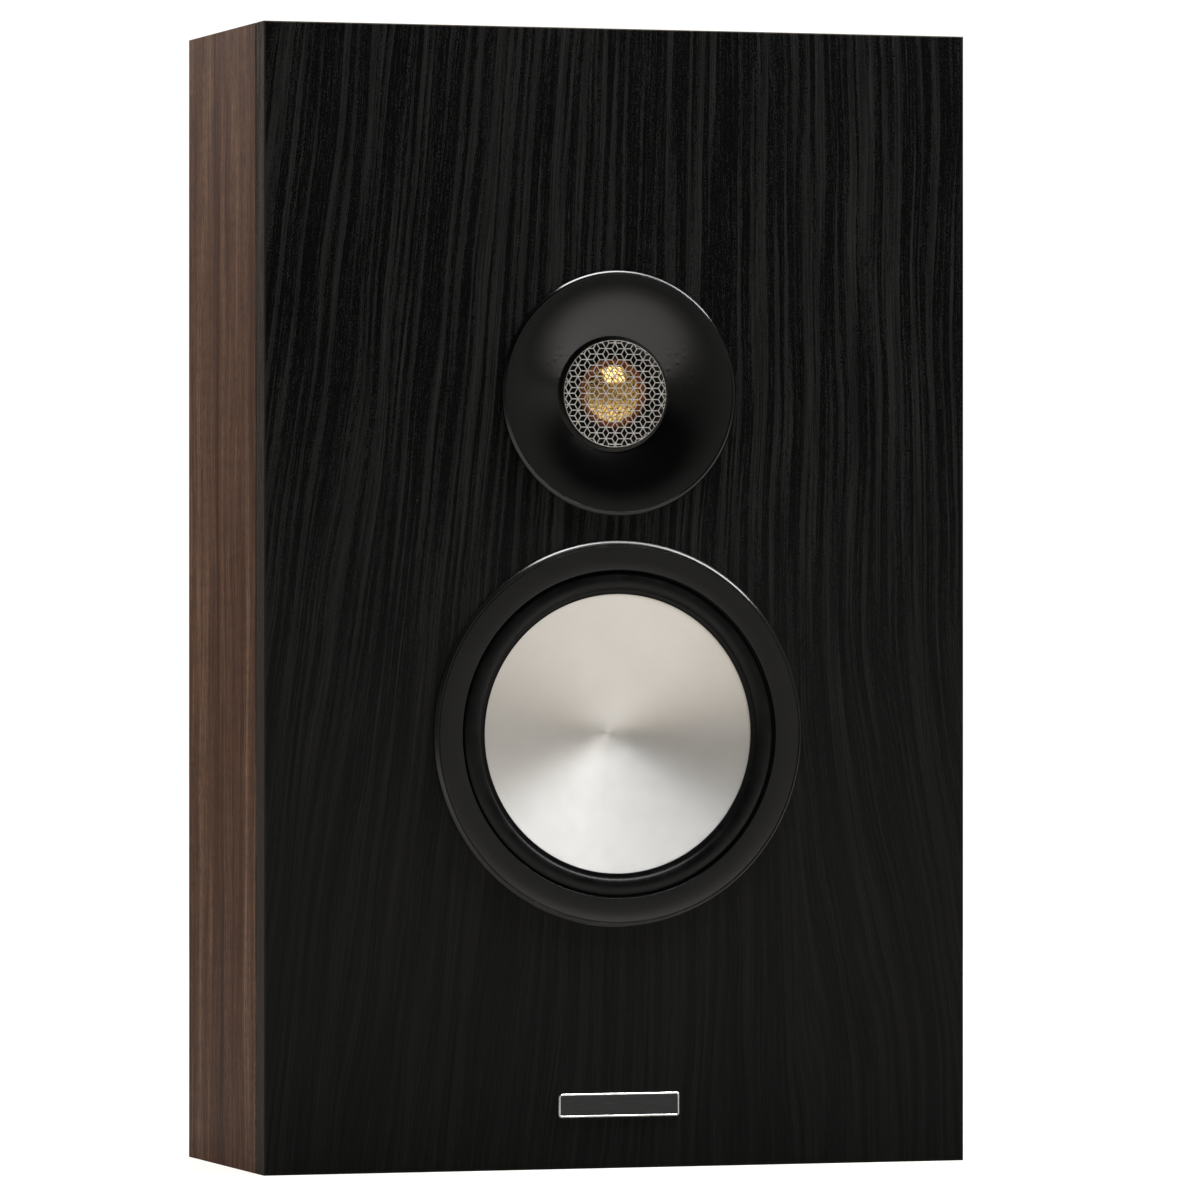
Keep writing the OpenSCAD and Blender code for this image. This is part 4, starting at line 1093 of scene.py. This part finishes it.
woofer_trim_ring()
woofer_surround()
woofer_cone()
woofer_spider()
woofer_leads()
tweeter_waveguide()
tweeter_grille()
tweeter_dome()
tweeter_surround()
name_badge()
acoustic_foam()
wall_bumpers()
binding_cap("red")
binding_cap("black")
inductor_windings()

# ---------- floor, light and camera ----------

FLOOR_HALF = 7.0
CAMERA_TURN = math.radians(17.70)
CAMERA_DISTANCE = 3.159
CAMERA_HEIGHT = 0.2204
CAMERA_AIM_X = -0.0078
CAMERA_LENS = 240.15
CAMERA_SHIFT = 0.00833
WHITE = 1.1


def floor():
    """A pale floor that looks white to the camera, with a soft glow in front of the object."""
    mesh = bpy.data.meshes.new("floor")
    h = FLOOR_HALF
    z = cad_bounds[0].z
    mesh.from_pydata([(-h, -h, z), (h, -h, z), (h, h, z), (-h, h, z)], [], [(0, 1, 2, 3)])
    look = Look("floor", (0.34, 0.33, 0.315), 0.8, specular=0.1)
    x, y, _ = look.parts(look.place())
    away = look.length(x, y)
    bounce = look.times(look.fit(y, -280, -100, 0.6, 0.0), look.fit(away, 400, 1500, 1.0, 0.2))
    seen = look.add("LightPath", "Is Camera Ray", {})
    to_camera = look.times(seen, look.fit(away, 400, 1400, 0.85, WHITE))
    look.set("Emission Color", (1, 0.985, 0.95, 1))
    look.set("Emission Strength", look.maths("ADD", bounce, to_camera))
    finish_mesh(mesh, look.material)
    obj = bpy.data.objects.new("floor", mesh)
    bpy.context.scene.collection.objects.link(obj)


def softbox(name, place, aim, width, height, radiance, colour=(1, 1, 1)):
    """A rectangular lamp. Its power is worked out from the radiance that its face shows."""
    lamp = bpy.data.lights.new(name, "AREA")
    lamp.shape = "RECTANGLE"
    lamp.size, lamp.size_y = width, height
    lamp.energy = radiance * math.pi * width * height
    lamp.color = colour
    obj = bpy.data.objects.new(name, lamp)
    obj.location = place
    obj.rotation_euler = (Vector(aim) - Vector(place)).to_track_quat("-Z", "Y").to_euler()
    obj.visible_camera = False
    bpy.context.scene.collection.objects.link(obj)
    return obj


def studio():
    """A studio that is dim in front at the left and overhead, and white where the camera sees it."""
    world = bpy.data.worlds.new("studio")
    bpy.context.scene.world = world
    world.use_nodes = True
    sky = Nodes(world.node_tree)
    x, y, z = sky.parts(sky.add("TexCoord", "Generated", {}))
    across = sky.fit(x, -0.45, 0.9, 0.13, 0.3)
    front = sky.fit(z, 0.02, 0.45, across, 0.01)
    around = sky.fit(y, -0.35, 0.3, front, 0.15)
    seen = sky.add("LightPath", "Is Camera Ray", {})
    background = sky.tree.nodes["Background"]
    sky.feed(background.inputs["Strength"], sky.blend(seen, around, WHITE))
    sky.feed(background.inputs["Color"], (1, 0.985, 0.94, 1))


def links(lamp, state, *names):
    """Lights only the named pieces, or with EXCLUDE all but them."""
    receivers = bpy.data.collections.new(f"linked_to_{lamp.name}")
    for name in names:
        receivers.objects.link(bpy.data.objects[name])
    for receiver in receivers.collection_objects:
        receiver.light_linking.link_state = state
    lamp.light_linking.receiver_collection = receivers


def lights():
    """Softboxes above, to the left and behind, and three in front, each only for the pieces it lights."""
    overhead = softbox("overhead", (0.85, -0.19, 1.45), (0.85, -0.1899, 0.0), 2.3, 0.34, 17)
    softbox("left", (-1.3, 0.75, 1.2), (-0.14, 0.0, 0.35), 0.8, 0.9, 5.0, (1.0, 0.97, 0.94))
    softbox("behind", (-0.9, 2.1, 1.1), (-0.14, 0.0, 0.4), 1.0, 0.7, 3.5)
    softbox("back_fill", (0.7, 1.7, 0.75), (0.0, 0.06, 0.2), 1.3, 0.9, 4.0)
    front = softbox("front", (0.76, -1.15, 0.98), (0.0, 0.0, 0.2), 3.1, 0.74, 2.75, (0.9, 0.98, 1.08))
    grille = softbox("grille", (0.85, -1.1, 1.0), (0.0, 0.0, 0.3), 2.4, 0.7, 0.95)
    spot = softbox("spot", (0.55, -1.35, 1.26), (0.0, 0.0, 0.31), 1.1, 0.8, 2.6)
    links(front, "INCLUDE", "metal_cone", "blank_badge")
    links(grille, "INCLUDE", "lattice_grille")
    links(spot, "INCLUDE", "gold_cap")
    links(overhead, "EXCLUDE", "metal_cone")


def camera():
    """A level camera with a long lens, to the left of straight ahead."""
    data = bpy.data.cameras.new("camera")
    data.lens = CAMERA_LENS
    data.sensor_width = 36
    data.shift_y = CAMERA_SHIFT
    data.clip_end = 60
    obj = bpy.data.objects.new("camera", data)
    back = Vector((-math.sin(CAMERA_TURN), -math.cos(CAMERA_TURN), 0))
    obj.location = Vector((CAMERA_AIM_X, FACE_Y, CAMERA_HEIGHT)) + back * CAMERA_DISTANCE
    obj.rotation_euler = (-back).to_track_quat("-Z", "Y").to_euler()
    bpy.context.scene.collection.objects.link(obj)
    bpy.context.scene.camera = obj


floor()
studio()
lights()
camera()
bpy.context.scene.view_settings.view_transform = "Standard"
